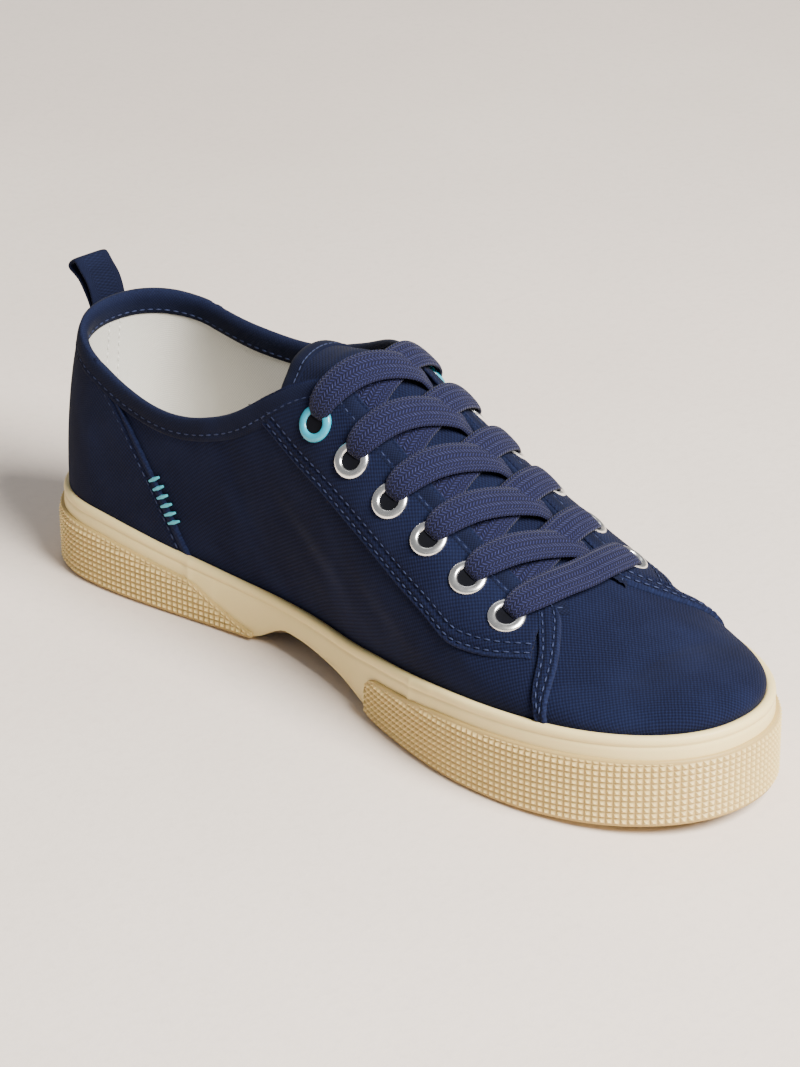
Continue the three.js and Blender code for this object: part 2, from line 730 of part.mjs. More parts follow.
const RUBBER = material(0xd9c79c, 0.6, 0);
const SOLE_RUBBER = material(0xb9a67c, 0.7, 0);
const CANVAS = material(0x1c2440, 0.9, 0);
const WEBBING = material(0x1a2344, 0.8, 0);
const LINING = material(0xcfd2cc, 0.9, 0);
const BRAID = material(0x2a2c58, 0.85, 0);
const SILVER = material(0xd6d6d2, 0.25, 1);
const TURQUOISE = material(0x6fc6cf, 0.35, 0);

const shoe = new THREE.Group();

function addPiece(name, solid, look) {
  const mesh = new THREE.Mesh(geometryOf(solid), look);
  mesh.name = name;
  shoe.add(mesh);
}

const places = eyeletPlaces();
addPiece('outsole', buildOutsole(), SOLE_RUBBER);
addPiece('foxing_band', buildFoxingBand(), RUBBER);
addPiece('toe_bumper', buildToeBumper(), RUBBER);
addPiece('heel_bumper', buildHeelBumper(), RUBBER);
addPiece('insole', buildInsole(), LINING);
addPiece('upper', buildUpper(), CANVAS);
addPiece('tongue', buildTongue(), CANVAS);
addPiece('pull_loop', buildPullLoop(), WEBBING);
for (const place of places) {
  addPiece(`eyelet_${place.name}`, buildEyelet(place), place.row === 0 ? TURQUOISE : SILVER);
}
for (let row = 1; row < EYELETS; row += 1) {
  addPiece(`lace_cross_${row}`, buildLaceCross(row, places), BRAID);
}
addPiece('lace_bar', buildLaceBar(places), BRAID);

// The shoe stands on z = 0, centred over the origin
const box = new THREE.Box3().setFromObject(shoe);
const centre = box.getCenter(new THREE.Vector3());
const group = new THREE.Group();
shoe.position.set(-centre.x, -centre.y, -box.min.z);
group.add(shoe);

export default group;
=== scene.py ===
# %% [markdown]
# # A low canvas sneaker
# A canvas sneaker is a cloth upper glued to a rubber sole. This lesson loads the engineering model
# of the shoe and then lays the cloth, the rubber skins, the stitches and the lace on it, because
# those are thinner than an engineering solid should be. The first cell loads the frame.

# %% Load the frame
import math
import bmesh
import bpy
import numpy as np
from mathutils import Matrix, Vector


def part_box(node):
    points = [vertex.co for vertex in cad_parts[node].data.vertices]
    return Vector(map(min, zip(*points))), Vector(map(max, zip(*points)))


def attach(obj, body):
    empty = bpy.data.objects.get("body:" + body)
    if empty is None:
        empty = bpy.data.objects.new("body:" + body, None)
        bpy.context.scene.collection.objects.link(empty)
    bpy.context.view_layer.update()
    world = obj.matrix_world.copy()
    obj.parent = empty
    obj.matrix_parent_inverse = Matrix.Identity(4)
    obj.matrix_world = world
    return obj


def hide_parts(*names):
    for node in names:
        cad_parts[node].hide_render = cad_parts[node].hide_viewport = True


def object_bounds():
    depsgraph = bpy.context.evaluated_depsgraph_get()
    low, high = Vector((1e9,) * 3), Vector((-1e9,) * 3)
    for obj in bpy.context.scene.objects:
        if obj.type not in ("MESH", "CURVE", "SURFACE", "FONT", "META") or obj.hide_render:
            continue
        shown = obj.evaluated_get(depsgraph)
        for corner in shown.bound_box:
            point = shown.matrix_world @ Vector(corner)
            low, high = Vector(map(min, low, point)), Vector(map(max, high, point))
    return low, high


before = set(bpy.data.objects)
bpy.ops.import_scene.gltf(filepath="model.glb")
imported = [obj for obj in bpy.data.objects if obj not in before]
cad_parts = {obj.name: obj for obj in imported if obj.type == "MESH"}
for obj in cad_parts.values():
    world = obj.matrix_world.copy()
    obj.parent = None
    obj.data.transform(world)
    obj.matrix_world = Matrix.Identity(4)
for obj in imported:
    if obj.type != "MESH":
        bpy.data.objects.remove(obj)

CAD_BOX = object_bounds()
print("nodes:", len(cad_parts), "box:", [[round(c, 4) for c in corner] for corner in CAD_BOX])

# %% [markdown]
# ## The camera
# Footwear is best seen through a long lens from above and in front, so that the toe and the inner
# side both show and the shape isn't stretched. The camera is placed first, because everything after
# it is judged through it. A small roll sets the floor level.

# %% Camera
box_low, box_high = (Vector(corner) for corner in CAD_BOX)
shoe_middle = (box_low + box_high) / 2
CAMERA_FROM_MIDDLE = Vector((0.6774, -0.6678, 0.4460))
LENS = 122.0
LOOK_LIFT = -0.009
ROLL_DEGREES = -0.4

camera_data = bpy.data.cameras.new("long_lens")
camera_data.lens = LENS
camera_data.sensor_width = 36
camera_data.sensor_fit = "VERTICAL"
camera_data.sensor_height = 36
camera = bpy.data.objects.new("camera", camera_data)
camera.location = shoe_middle + CAMERA_FROM_MIDDLE
aim = shoe_middle + Vector((0, 0, LOOK_LIFT)) - camera.location
roll = Matrix.Rotation(math.radians(ROLL_DEGREES), 3, "Z")
camera.rotation_euler = (aim.to_track_quat("-Z", "Y").to_matrix() @ roll).to_euler()
bpy.context.scene.collection.objects.link(camera)
bpy.context.scene.camera = camera
print("camera stands", round(aim.length, 3), "m away")

# %% [markdown]
# ## Floor and light
# The floor is a plain pale plaster. The light is soft: a large lamp high on the toe side, a weaker
# one behind the heel, and a pale sky that fills the shadows without removing them.

# %% Small helpers for materials
def srgb(red, green, blue):
    """A colour as a painter writes it, 0 to 255, turned into the linear light that shaders use."""
    parts = [c / 255 for c in (red, green, blue)]
    return (*[((c + 0.055) / 1.055) ** 2.4 if c > 0.04 else c / 12.92 for c in parts], 1.0)


def finish(name, roughness, **constants):
    """A new material with its shader; constants are set on the shader's own sockets."""
    material = bpy.data.materials.new(name)
    material.use_nodes = True
    shader = material.node_tree.nodes["Principled BSDF"]
    shader.inputs["Roughness"].default_value = roughness
    for socket, value in constants.items():
        shader.inputs[socket.replace("_", " ")].default_value = value
    return material, shader


def add_node(material, kind, settings=None, **wires):
    """Adds a node. A wire is named after its input, or i and the input's number; a number or a
    colour is typed in, and a socket is plugged in."""
    node = material.node_tree.nodes.new(kind)
    for name, value in (settings or {}).items():
        setattr(node, name, value)
    for name, value in wires.items():
        key = int(name[1:]) if name[0] == "i" and name[1:].isdigit() else name.replace("_", " ")
        plug(material, value, node.inputs[key])
    return node


def plug(material, value, socket):
    if isinstance(value, bpy.types.NodeSocket):
        material.node_tree.links.new(value, socket)
    else:
        socket.default_value = value


def maths(material, operation, first, second=0.0):
    node = add_node(material, "ShaderNodeMath", {"operation": operation}, i0=first, i1=second)
    return node.outputs[0]


def times(material, first, second):
    return maths(material, "MULTIPLY", first, second)


def blend_colours(material, share, first, second):
    node = add_node(material, "ShaderNodeMix", {"data_type": "RGBA"}, i0=share, i6=first, i7=second)
    return node.outputs[2]


def noise(material, at, scale, detail=3.0, roughness=0.5):
    sizes = {"Scale": scale, "Detail": detail, "Roughness": roughness}
    return add_node(material, "ShaderNodeTexNoise", None, Vector=at, **sizes).outputs[0]


def spread(material, value, low, high, to_low=0.0, to_high=1.0):
    """Carries a value from one range to another and holds it inside."""
    ends = {"i1": low, "i2": high, "i3": to_low, "i4": to_high}
    return add_node(material, "ShaderNodeMapRange", {"clamp": True}, i0=value, **ends).outputs[0]


def raised(material, height, depth, strength):
    """A bump so many metres deep."""
    sizes = {"Distance": depth, "Strength": strength}
    return add_node(material, "ShaderNodeBump", None, Height=height, **sizes).outputs[0]


def object_point(material):
    return add_node(material, "ShaderNodeTexCoord").outputs["Object"]


def dress(material, shader, colour, relief, gloss=None):
    """Plugs a colour, a bump and, where it varies, a roughness into the shader."""
    plug(material, colour, shader.inputs["Base Color"])
    plug(material, relief, shader.inputs["Normal"])
    if gloss is not None:
        plug(material, gloss, shader.inputs["Roughness"])
    return material


print("material helpers ready")

# %% Floor
def make_floor():
    material, shader = finish("pale_plaster", 0.85, Specular_IOR_Level=0.25)
    place = object_point(material)
    cloud = noise(material, place, 6.0, 4.0, 0.6)
    grain = noise(material, place, 260.0, 3.0, 0.6)
    cloudy = spread(material, cloud, 0.35, 0.7)
    specks = spread(material, grain, 0.5, 0.75, 0, 0.25)
    mottled = blend_colours(material, cloudy, srgb(236, 223, 211), srgb(229, 216, 204))
    speckled = blend_colours(material, specks, mottled, srgb(212, 200, 189))
    dress(material, shader, speckled, raised(material, grain, 0.0004, 0.35))
    bm = bmesh.new()
    bmesh.ops.create_grid(bm, x_segments=2, y_segments=2, size=4.0)
    mesh = bpy.data.meshes.new("floor")
    bm.to_mesh(mesh)
    bm.free()
    floor = bpy.data.objects.new("floor", mesh)
    floor.data.transform(Matrix.Translation((0, 0, box_low.z - 0.0002)))
    floor.data.materials.append(material)
    bpy.context.scene.collection.objects.link(floor)


make_floor()
print("floor at", round(box_low.z, 4))

# %% Lamps
def make_lamp(name, place, size, power, colour=(1, 1, 1)):
    data = bpy.data.lights.new(name, "AREA")
    data.shape = "DISK"
    data.size = size
    data.energy = power
    data.color = colour
    lamp = bpy.data.objects.new(name, data)
    lamp.location = shoe_middle + Vector(place)
    lamp.rotation_euler = (-Vector(place)).to_track_quat("-Z", "Y").to_euler()
    bpy.context.scene.collection.objects.link(lamp)


make_lamp("key_softbox", (1.15, 0.02, 1.12), 0.9, 98, (1.0, 0.972, 0.93))
make_lamp("front_fill", (0.75, -1.2, 0.9), 1.4, 0.6)
make_lamp("heel_fill", (-0.9, 0.7, 1.1), 1.2, 4.0, (0.98, 0.99, 1.0))
world = bpy.data.worlds.new("pale_room")
world.use_nodes = True
sky = world.node_tree.nodes["Background"]
sky.inputs["Color"].default_value = (0.97, 0.975, 1.0, 1)
sky.inputs["Strength"].default_value = 0.30
bpy.context.scene.world = world
print("three lamps and a pale room")

# %% [markdown]
# ## The last
# A shoemaker builds a shoe on a last, a solid form of the foot. Every soft piece here lies on the
# same kind of form, so it is worked out once. A place on it is given by a station, counted round
# the sole from the heel along the outer side to the toe and back, and by a turn, an angle that
# rises from the top of the rubber band to the ridge of the foot. All sizes are in millimetres.

# %% Sizes of the sole and of the last
LENGTH = 271.5
HEEL_X = -1.2
ROUND = 92.0
HEEL_HALF = 33.5
TOE_TIP_Y = -1.9
TOE_POWER = 2.15
BALL_IN = 43.8
INNER_SIDE = (-1, 25.6, BALL_IN, 0.75)
OUTER_SIDE = (1, 39.6, 46.5, 0.68)
CLOTH_INSET = 4.7
BAND_INSET = 1.9
WALL = 1.8
SOLE = [  # share of the length, band top inner and outer side, rim underside inner and outer, seat
    (0.00, 26.0, 26.0, 0, 0, 14.5), (0.12, 24.8, 24.8, 0, 0, 14.0), (0.26, 20.0, 22.0, 0, 0, 13.0),
    (0.35, 17.4, 20.4, 0.6, 0, 12.3), (0.41, 16.8, 20.0, 7.6, 2.5, 12.0),
    (0.50, 17.2, 20.4, 5.6, 2.0, 11.5), (0.60, 20.8, 22.4, 0, 0, 11.5),
    (0.72, 25.4, 25.6, 0, 0, 11.5), (0.77, 26.4, 26.4, 0, 0, 11.5), (0.88, 28.2, 28.2, 1.2, 1.2, 13.0),
    (1.00, 30.5, 30.5, 4.2, 4.2, 16.5),
]
RIDGE = [(0.08, 110), (0.26, 120), (0.46, 95), (0.60, 71.5), (0.75, 50), (0.83, 42), (0.90, 37)]
BULGE = [
    (0.00, 0, 0), (0.12, 0.6, 0.4), (0.26, 6.2, 1.5), (0.46, 8.6, 1.0),
    (0.60, 5.0, 1.0), (0.75, 1.6, 0.8), (0.88, 0.6, 0.6), (1.00, 1.6, 1.6),
]
RIDGE_BACK, RIDGE_FRONT = 30, 238
COLLAR = [  # x, height of the collar's edge on the inner and on the outer side
    (-14, 81, 81), (4, 80, 80.5), (20, 74.8, 77), (44, 67.6, 72.2), (68, 65.6, 71), (88, 71, 77),
    (104, 81.2, 84.6), (113, 86.8, 88), (121, 89.2, 89.4), (128, 88.4, 88.4), (134, 84, 84),
]
COLLAR_SIDE_Y = 25
THROAT_TOP, THROAT_END = 98, 207.5
THROAT_TOP_HALF, THROAT_END_HALF, THROAT_ROUND = 12.2, 15.0, 10.5

heel_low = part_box("heel_bumper")[0]
toe_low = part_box("toe_bumper")[0]
SHIFT = np.array([heel_low.x * 1000 - HEEL_X, toe_low.y * 1000 + BALL_IN, 0.0])
print("the last is moved by", SHIFT.round(3), "mm into the frame")

# %% Tables that flow smoothly from row to row
def smooth_step(t):
    t = np.clip(t, 0, 1)
    return t * t * (3 - 2 * t)


def flow(rows, at, column=1):
    """Value of a table's column between its rows, with no overshoot."""
    table = np.array(rows, float)
    places, values = table[:, 0], table[:, column]
    slopes = np.diff(values) / np.diff(places)
    inner = [0 if a * b <= 0 else 2 * a * b / (a + b) for a, b in zip(slopes[:-1], slopes[1:])]
    lean = np.array([slopes[0], *inner, slopes[-1]])
    at = np.clip(at, places[0], places[-1])
    i = np.clip(np.searchsorted(places, at, side="right") - 1, 0, len(places) - 2)
    span = places[i + 1] - places[i]
    t = (at - places[i]) / span
    straight = values[i] + (values[i + 1] - values[i]) * smooth_step(t)
    return straight + span * t * (1 - t) * ((1 - t) * lean[i] - t * lean[i + 1])


def spline(points, count):
    """A smooth curve through a few points, as count evenly numbered points."""
    p = np.array(points, float)
    t = np.linspace(0, len(p) - 1, count)
    i = np.clip(t.astype(int), 0, len(p) - 2)
    f = (t - i)[:, None]
    before, after = p[np.maximum(i - 1, 0)], p[np.minimum(i + 2, len(p) - 1)]
    here, there = p[i], p[i + 1]
    v0, v1 = (there - before) / 2, (after - here) / 2
    bend = (2 * here - 2 * there + v0 + v1) * f**3
    return bend + (-3 * here + 3 * there - 2 * v0 - v1) * f**2 + v0 * f + here


print("collar height at mid length:", round(float(flow([(r[0], r[1]) for r in COLLAR], 68)), 1), "mm")

# %% Plan outline and the surface of the last
def along_of(station):
    return (1 - np.cos(2 * np.pi * np.asarray(station, float) / ROUND)) / 2


def is_outer(station):
    return np.mod(station, ROUND) <= ROUND / 2


def half_width(at, waist, ball, ball_at):
    heel = HEEL_HALF * (1 - np.clip((0.12 - at) / 0.12, 0, 1) ** 2.3) ** (1 / 2.1)
    back = HEEL_HALF + (waist - HEEL_HALF) * smooth_step((at - 0.12) / (0.39 - 0.12))
    front = waist + (ball - waist) * smooth_step((at - 0.39) / (ball_at - 0.39))
    return np.where(at < 0.12, heel, np.where(at < 0.39, back, front))


def outline(station):
    station = np.asarray(station, float)
    at = along_of(station)
    y = np.zeros_like(at)
    for side, chosen in ((INNER_SIDE, ~is_outer(station)), (OUTER_SIDE, is_outer(station))):
        sign, waist, ball, ball_at = side
        straight = sign * half_width(at, waist, ball, ball_at)
        t = np.clip((at - ball_at) / (1 - ball_at), 0, 1)
        arc = (1 - t**TOE_POWER) ** (1 / TOE_POWER)
        toe = TOE_TIP_Y + (sign * ball - TOE_TIP_Y) * arc
        y = np.where(chosen, np.where(at <= ball_at, straight, toe), y)
    return np.stack([HEEL_X + at * LENGTH, y], -1)


def inset_outline(station, inset):
    step = outline(np.asarray(station) + 0.05) - outline(np.asarray(station) - 0.05)
    step /= np.linalg.norm(step, axis=-1, keepdims=True)
    inward = np.stack([step[..., 1], -step[..., 0]], -1)
    return outline(station) + inward * np.asarray(inset, float)[..., None]


def sole_height(station, inner_column):
    """Band top (1) or rim underside (3) at a station."""
    at = along_of(station)
    return np.where(is_outer(station), flow(SOLE, at, inner_column + 1), flow(SOLE, at, inner_column))


def last(station, turn, lift=0.0):
    """A point of the last, lifted off it by so many millimetres."""
    station, turn = np.broadcast_arrays(np.asarray(station, float), np.asarray(turn, float))
    lift = np.broadcast_to(np.asarray(lift, float), station.shape)
    foot = inset_outline(station, CLOTH_INSET - lift)
    ridge_x = np.clip(outline(station)[..., 0], RIDGE_BACK, RIDGE_FRONT)
    at = (ridge_x - HEEL_X) / LENGTH
    ridge = np.stack([ridge_x, TOE_TIP_Y * at**4], -1)
    ridge_z = flow(RIDGE, at) + lift
    base = sole_height(station, 1)
    share = along_of(station)
    bulge = np.where(is_outer(station), flow(BULGE, share, 2), flow(BULGE, share, 1))
    nought, one = np.zeros(station.shape), np.ones(station.shape)
    outward = inset_outline(station, nought) - inset_outline(station, one)
    over = (1 - np.cos(turn))[..., None]
    flat = foot + (ridge - foot) * over + outward * (bulge * np.sin(2 * turn))[..., None]
    return np.concatenate([flat, (base + (ridge_z - base) * np.sin(turn))[..., None]], -1)


def station_of(x, outer):
    """The station at a length x, on the outer or on the inner side."""
    cosine = np.clip(1 - 2 * (np.asarray(x, float) - HEEL_X) / LENGTH, -1, 1)
    station = np.arccos(cosine) * ROUND / (2 * np.pi)
    return station if outer else ROUND - station


def press(points, station, turn):
    """Finds the place on the last nearest to each point, from a first guess."""
    station, turn = np.array(station, float), np.array(turn, float)
    for _ in range(6):
        along = (last(station + 0.02, turn) - last(station - 0.02, turn)) / 0.04
        up = (last(station, turn + 0.002) - last(station, turn - 0.002)) / 0.004
        miss = points - last(station, turn)
        a, b, c = (along * along).sum(-1), (along * up).sum(-1), (up * up).sum(-1)
        e, f = (along * miss).sum(-1), (up * miss).sum(-1)
        room = np.maximum(a * c - b * b, 1e-9)
        station += np.clip((c * e - b * f) / room, -2, 2)
        turn = np.clip(turn + np.clip((a * f - b * e) / room, -0.2, 0.2), -0.2, np.pi / 2)
    return station, turn


def normal_at(station, turn):
    along = last(station + 0.05, turn) - last(station - 0.05, turn)
    up = last(station, turn + 0.01) - last(station, turn - 0.01)
    out = np.cross(up, along)
    return out / np.maximum(np.linalg.norm(out, axis=-1, keepdims=True), 1e-9)


def threads_at(station, turn):
    """Where a place lies on the flat cloth, in mm: each rib is rolled out from the ridge."""
    steps = np.linspace(0, 1, 17)
    ribs = [last(station, turn + (np.pi / 2 - turn) * s) for s in steps]
    length = sum(np.linalg.norm(b - a, axis=-1) for a, b in zip(ribs[:-1], ribs[1:]))
    reach = last(station, np.zeros_like(turn))[..., :2] - ribs[-1][..., :2]
    reach /= np.linalg.norm(reach, axis=-1, keepdims=True)
    return ribs[-1][..., :2] + reach * length[..., None]


instep = last(station_of(120, True), np.pi / 2)
print("height of the last over the instep:", round(float(instep[2]), 1), "mm")

# %% [markdown]
# ## Where the cloth ends
# The collar dips under the ankle and rises to the facings, and the throat lies between the
# facings. For each rib of the last, the turn where the cloth ends is found by walking up the rib
# until it meets the collar's line or the throat's.

# %% Top edge of the upper
collar_curve = spline(COLLAR, 400)


def collar_height(x, y):
    inner = np.interp(x, collar_curve[:, 0], collar_curve[:, 1], right=200)
    outer = np.interp(x, collar_curve[:, 0], collar_curve[:, 2], right=200)
    return (inner + outer) / 2 + (outer - inner) / 2 * y / COLLAR_SIDE_Y


def throat_half(x):
    straight_end = THROAT_END - THROAT_ROUND
    wider = THROAT_END_HALF - THROAT_TOP_HALF
    side = THROAT_TOP_HALF + wider * (x - THROAT_TOP) / (straight_end - THROAT_TOP)
    t = 1 - np.sqrt(np.clip((THROAT_END - x) / THROAT_ROUND, 0, 1))
    half = np.where(x < straight_end, side, THROAT_END_HALF * (1 - t * t))
    return np.where((x < THROAT_TOP) | (x > THROAT_END), -1.0, half)


def cut_away(station, turn):
    p = last(station, turn)
    return (p[..., 2] > collar_height(p[..., 0], p[..., 1])) | (np.abs(p[..., 1]) < throat_half(p[..., 0]))


def edge_turn(station):
    station = np.atleast_1d(np.asarray(station, float))
    turns = np.linspace(0.1, np.pi / 2, 90)
    grid = cut_away(station[:, None] + 0 * turns, turns + 0 * station[:, None])
    first = np.where(grid.any(1), grid.argmax(1), len(turns) - 1)
    low, high = turns[np.maximum(first - 1, 0)], turns[first]
    for _ in range(14):
        middle = (low + high) / 2
        cut = cut_away(station, middle)
        low, high = np.where(cut, low, middle), np.where(cut, middle, high)
    return np.where(grid.any(1), low, np.pi / 2)


def rib_stations():
    """Ribs of one side, closer together where the edge turns quickly."""
    stops = [0, *(float(station_of(x, True)) for x in (90, 140, 196, THROAT_END + 4))]
    steps = [0.36, 0.16, 0.36, 0.05]
    parts = [np.arange(a, b, s) for a, b, s in zip(stops[:-1], stops[1:], steps)]
    return np.concatenate([*parts, np.linspace(stops[-1], ROUND / 2, 24)])


half_ribs = rib_stations()
RIBS = np.concatenate([half_ribs, (ROUND - half_ribs[::-1])[1:]])
EDGE_TABLE = edge_turn(RIBS)


def edge_at(station):
    return np.interp(np.mod(station, ROUND), RIBS, EDGE_TABLE)


print("ribs:", len(RIBS), "edge turn, degrees:", round(math.degrees(EDGE_TABLE.min()), 1), "to 90")

# %% [markdown]
# ## Creases
# Canvas that has been tried on keeps a few soft folds: across the side under the eyelets, at the
# ball, and at the ankle. Each crease is a line between two places on the last, with its width and
# its depth, and a trough has a low ridge beside it. They are listed one by one, since a random
# pattern never looks like cloth that was pulled over a foot.

# %% Crease table
CREASES = [  # station share x and turn of both ends, width and depth in mm; minus is a trough
    ((108, 22), (137, 12), 3.4, -0.55), ((112, 27), (142, 17), 3.2, 0.40),
    ((140, 20), (170, 8), 4.0, -0.45), ((146, 25), (176, 14), 3.6, 0.35),
    ((84, 30), (100, 10), 4.2, -0.40), ((76, 34), (90, 14), 4.0, 0.30),
    ((178, 24), (200, 10), 3.2, -0.40), ((184, 28), (206, 15), 3.0, 0.30),
    ((222, 62), (236, 30), 4.0, -0.35), ((229, 68), (243, 34), 4.0, 0.25),
    ((214, 84), (226, 70), 3.5, -0.30), ((236, 80), (246, 52), 4.5, -0.25),
    ((40, 30), (58, 20), 4.5, -0.35), ((36, 22), (52, 10), 4.0, 0.25),
    ((14, 34), (30, 44), 4.0, -0.30), ((252, 40), (262, 20), 3.5, 0.20),
]


def crease_lines():
    lines = []
    for outer in (True, False):
        shrink = 0.8 if outer else 1.0
        for (x0, turn0), (x1, turn1), width, depth in CREASES:
            start = last(station_of(x0, outer), math.radians(turn0))
            end = last(station_of(x1, outer), math.radians(turn1))
            lines.append((start, end, width, depth * shrink))
    return lines


crease_table = crease_lines()


def crease_lift(point):
    total = np.zeros(point.shape[:-1])
    for start, end, width, depth in crease_table:
        line = end - start
        share = np.clip(((point - start) @ line) / (line @ line), 0, 1)
        gap = np.linalg.norm(point - (start + share[..., None] * line), axis=-1)
        total += depth * np.exp(-((gap / width) ** 2)) * np.sin(np.pi * (0.1 + 0.8 * share))
    return total


def skin(station, turn, lift=0.0, creased=1.0):
    """A point of the cloth's face, with its creases."""
    plain = last(station, turn)
    return last(station, turn, lift + creased * crease_lift(plain))


print("creases:", len(crease_table))

# %% [markdown]
# ## Sheets
# Most pieces here are strips or panels. Each starts as a flat grid from Blender's own grid
# operator, and its points are then laid on the last by a rule, like cloth pulled over it. The
# grid's texture map keeps its real size in millimetres, so that one weave fits every panel. Points
# that meet, at the heel seam or the toe, are merged, and a Solidify modifier gives the thickness.

# %% Sheet maker
def to_frame(points):
    return (np.asarray(points, float) + SHIFT) / 1000.0


def lay_grid(along, across, where, thread_map, rim=None):
    """A grid laid by where(s, t); thread_map gives its texture map, and rim marks worn edges on cloth and
    heights for painted shade on bumpers.
    """
    bm = bmesh.new()
    bmesh.ops.create_grid(bm, x_segments=len(along) - 1, y_segments=len(across) - 1, size=0.5)
    flat = np.array([v.co[:2] for v in bm.verts])
    spot = (flat - flat.min(0)) / (flat.max(0) - flat.min(0))
    i = np.rint(spot[:, 0] * (len(along) - 1)).astype(int)
    j = np.rint(spot[:, 1] * (len(across) - 1)).astype(int)
    s, t = np.asarray(along, float)[i], np.asarray(across, float)[j]
    places = to_frame(where(s, t))
    threads = thread_map(s, t)
    marks = rim(s, t) if rim is not None else np.zeros(len(s))
    map_layer = bm.loops.layers.uv.new("threads")
    mark_layer = bm.verts.layers.float.new("rim")
    for vert, place, mark in zip(bm.verts, places, marks):
        vert.co = place
        vert[mark_layer] = float(mark)
    for face in bm.faces:
        face.smooth = True
        for loop in face.loops:
            loop[map_layer].uv = threads[loop.vert.index]
    return bm


def face_outward(bm, middle=None):
    """Turns all faces of an open sheet to look away from the middle of the shoe."""
    bm.normal_update()
    score = 0.0
    for face in bm.faces:
        centre = face.calc_center_median()
        heart = middle or Vector((centre.x, SHIFT[1] / 1000, 0.03))
        score += face.normal.dot(centre - heart) * face.calc_area()
    if score < 0:
        bmesh.ops.reverse_faces(bm, faces=bm.faces)


def finish_piece(
    bm, name, material, replaces=(),
    thickness=None, offset=-1.0, merge=0.00002, middle=None, closed=False,
):
    """Makes the object of a mesh, gives it its finish and its wall, and lets it ride on the shoe."""
    bmesh.ops.remove_doubles(bm, verts=bm.verts, dist=merge)
    bmesh.ops.dissolve_degenerate(bm, edges=bm.edges, dist=0.000005)
    if closed:
        bmesh.ops.recalc_face_normals(bm, faces=bm.faces)
    else:
        face_outward(bm, middle)
    mesh = bpy.data.meshes.new(name)
    bm.to_mesh(mesh)
    bm.free()
    piece = bpy.data.objects.new(name, mesh)
    mesh.materials.append(material)
    bpy.context.scene.collection.objects.link(piece)
    if thickness:
        solid = piece.modifiers.new("thickness", "SOLIDIFY")
        solid.thickness = thickness / 1000
        solid.offset = offset
        solid.use_rim = True
    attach(piece, "root")
    if replaces:
        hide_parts(*replaces)
    print(name, "-", len(mesh.polygons), "faces")
    return piece


def fine_ends(count, power=1.7):
    """Shares from 0 to 1 that crowd towards both ends."""
    t = np.linspace(-1, 1, count)
    return (1 + np.sign(t) * (1 - (1 - np.abs(t)) ** power)) / 2


def section_at(section, t):
    """The columns of a section's table at places t, counted along its rows."""
    table = np.array(section)
    return [np.interp(t, np.arange(len(table)), column) for column in table.T]


def pick_rows(values, s):
    """Rows of a table at shares s of its length."""
    places = np.linspace(0, 1, len(values))
    return np.stack([np.interp(s, places, column) for column in values.T], -1)


print("sheet maker ready")

# %% [markdown]
# ## Cloth, rubber and metal
# The canvas is a plain weave: two sets of threads that pass over and under each other, so its
# height is the product of two waves. Dye takes a little unevenly, folded edges rub paler, and a
# faint sheen of loose fibre catches the light. The same weave, paler and finer, makes the lining.

# %% Canvas and lining
def thread_map_node(material):
    """The texture map in mm, whole and as its two parts."""
    where = add_node(material, "ShaderNodeUVMap", {"uv_map": "threads"}).outputs[0]
    apart = add_node(material, "ShaderNodeSeparateXYZ", None, i0=where)
    return where, apart.outputs[0], apart.outputs[1]


def rim_mark(material):
    return add_node(material, "ShaderNodeAttribute", {"attribute_name": "rim"}).outputs["Fac"]


def thread_wave(material, across, wobble, pitch):
    """A wave over the threads, which stray a little from their straight line."""
    phase = times(material, maths(material, "ADD", across, wobble), math.pi / pitch)
    return maths(material, "SINE", phase)


def woven(name, dark, light, worn, pitch, depth, roughness, sheen):
    """Plain woven cloth; pitch is the distance between threads and depth their relief, in mm."""
    constants = {"Specular_IOR_Level": 0.08, "Sheen_Weight": sheen, "Sheen_Roughness": 0.45}
    material, shader = finish(name, roughness, **constants)
    where, u, v = thread_map_node(material)
    wobble = times(material, noise(material, where, 0.35, 2.0), 0.5)
    warp, weft = (thread_wave(material, across, wobble, pitch) for across in (u, v))
    height = spread(material, times(material, warp, weft), -1, 1)
    slub = noise(material, where, 1.4, 2.0, 0.7)
    fade = spread(material, noise(material, where, 0.035, 3.0, 0.55), 0.45, 0.75, 0.0, 0.18)
    thick = spread(material, slub, 0.3, 0.7, 0.45, 1.0)
    tone = times(material, spread(material, height, 0.15, 0.95), thick)
    faded = blend_colours(material, fade, blend_colours(material, tone, dark, light), worn)
    rubbed = times(material, rim_mark(material), spread(material, slub, 0.3, 0.7, 0.1, 0.5))
    relief = raised(material, height, depth / 1000, 0.7)
    return dress(material, shader, blend_colours(material, rubbed, faded, worn), relief)


CANVAS = woven(
    "navy_canvas", srgb(9, 12, 30), srgb(22, 29, 57), srgb(40, 49, 84), 0.66, 0.14, 0.9, 0.03
)
BINDING = woven(
    "navy_binding", srgb(9, 12, 28), srgb(20, 26, 50), srgb(37, 45, 77), 0.5, 0.09, 0.88, 0.03
)
LINING = woven(
    "ecru_lining", srgb(200, 197, 188), srgb(224, 220, 211), srgb(232, 229, 220), 0.55, 0.10, 0.92, 0.05
)
print("cloths:", CANVAS.name, BINDING.name, LINING.name)
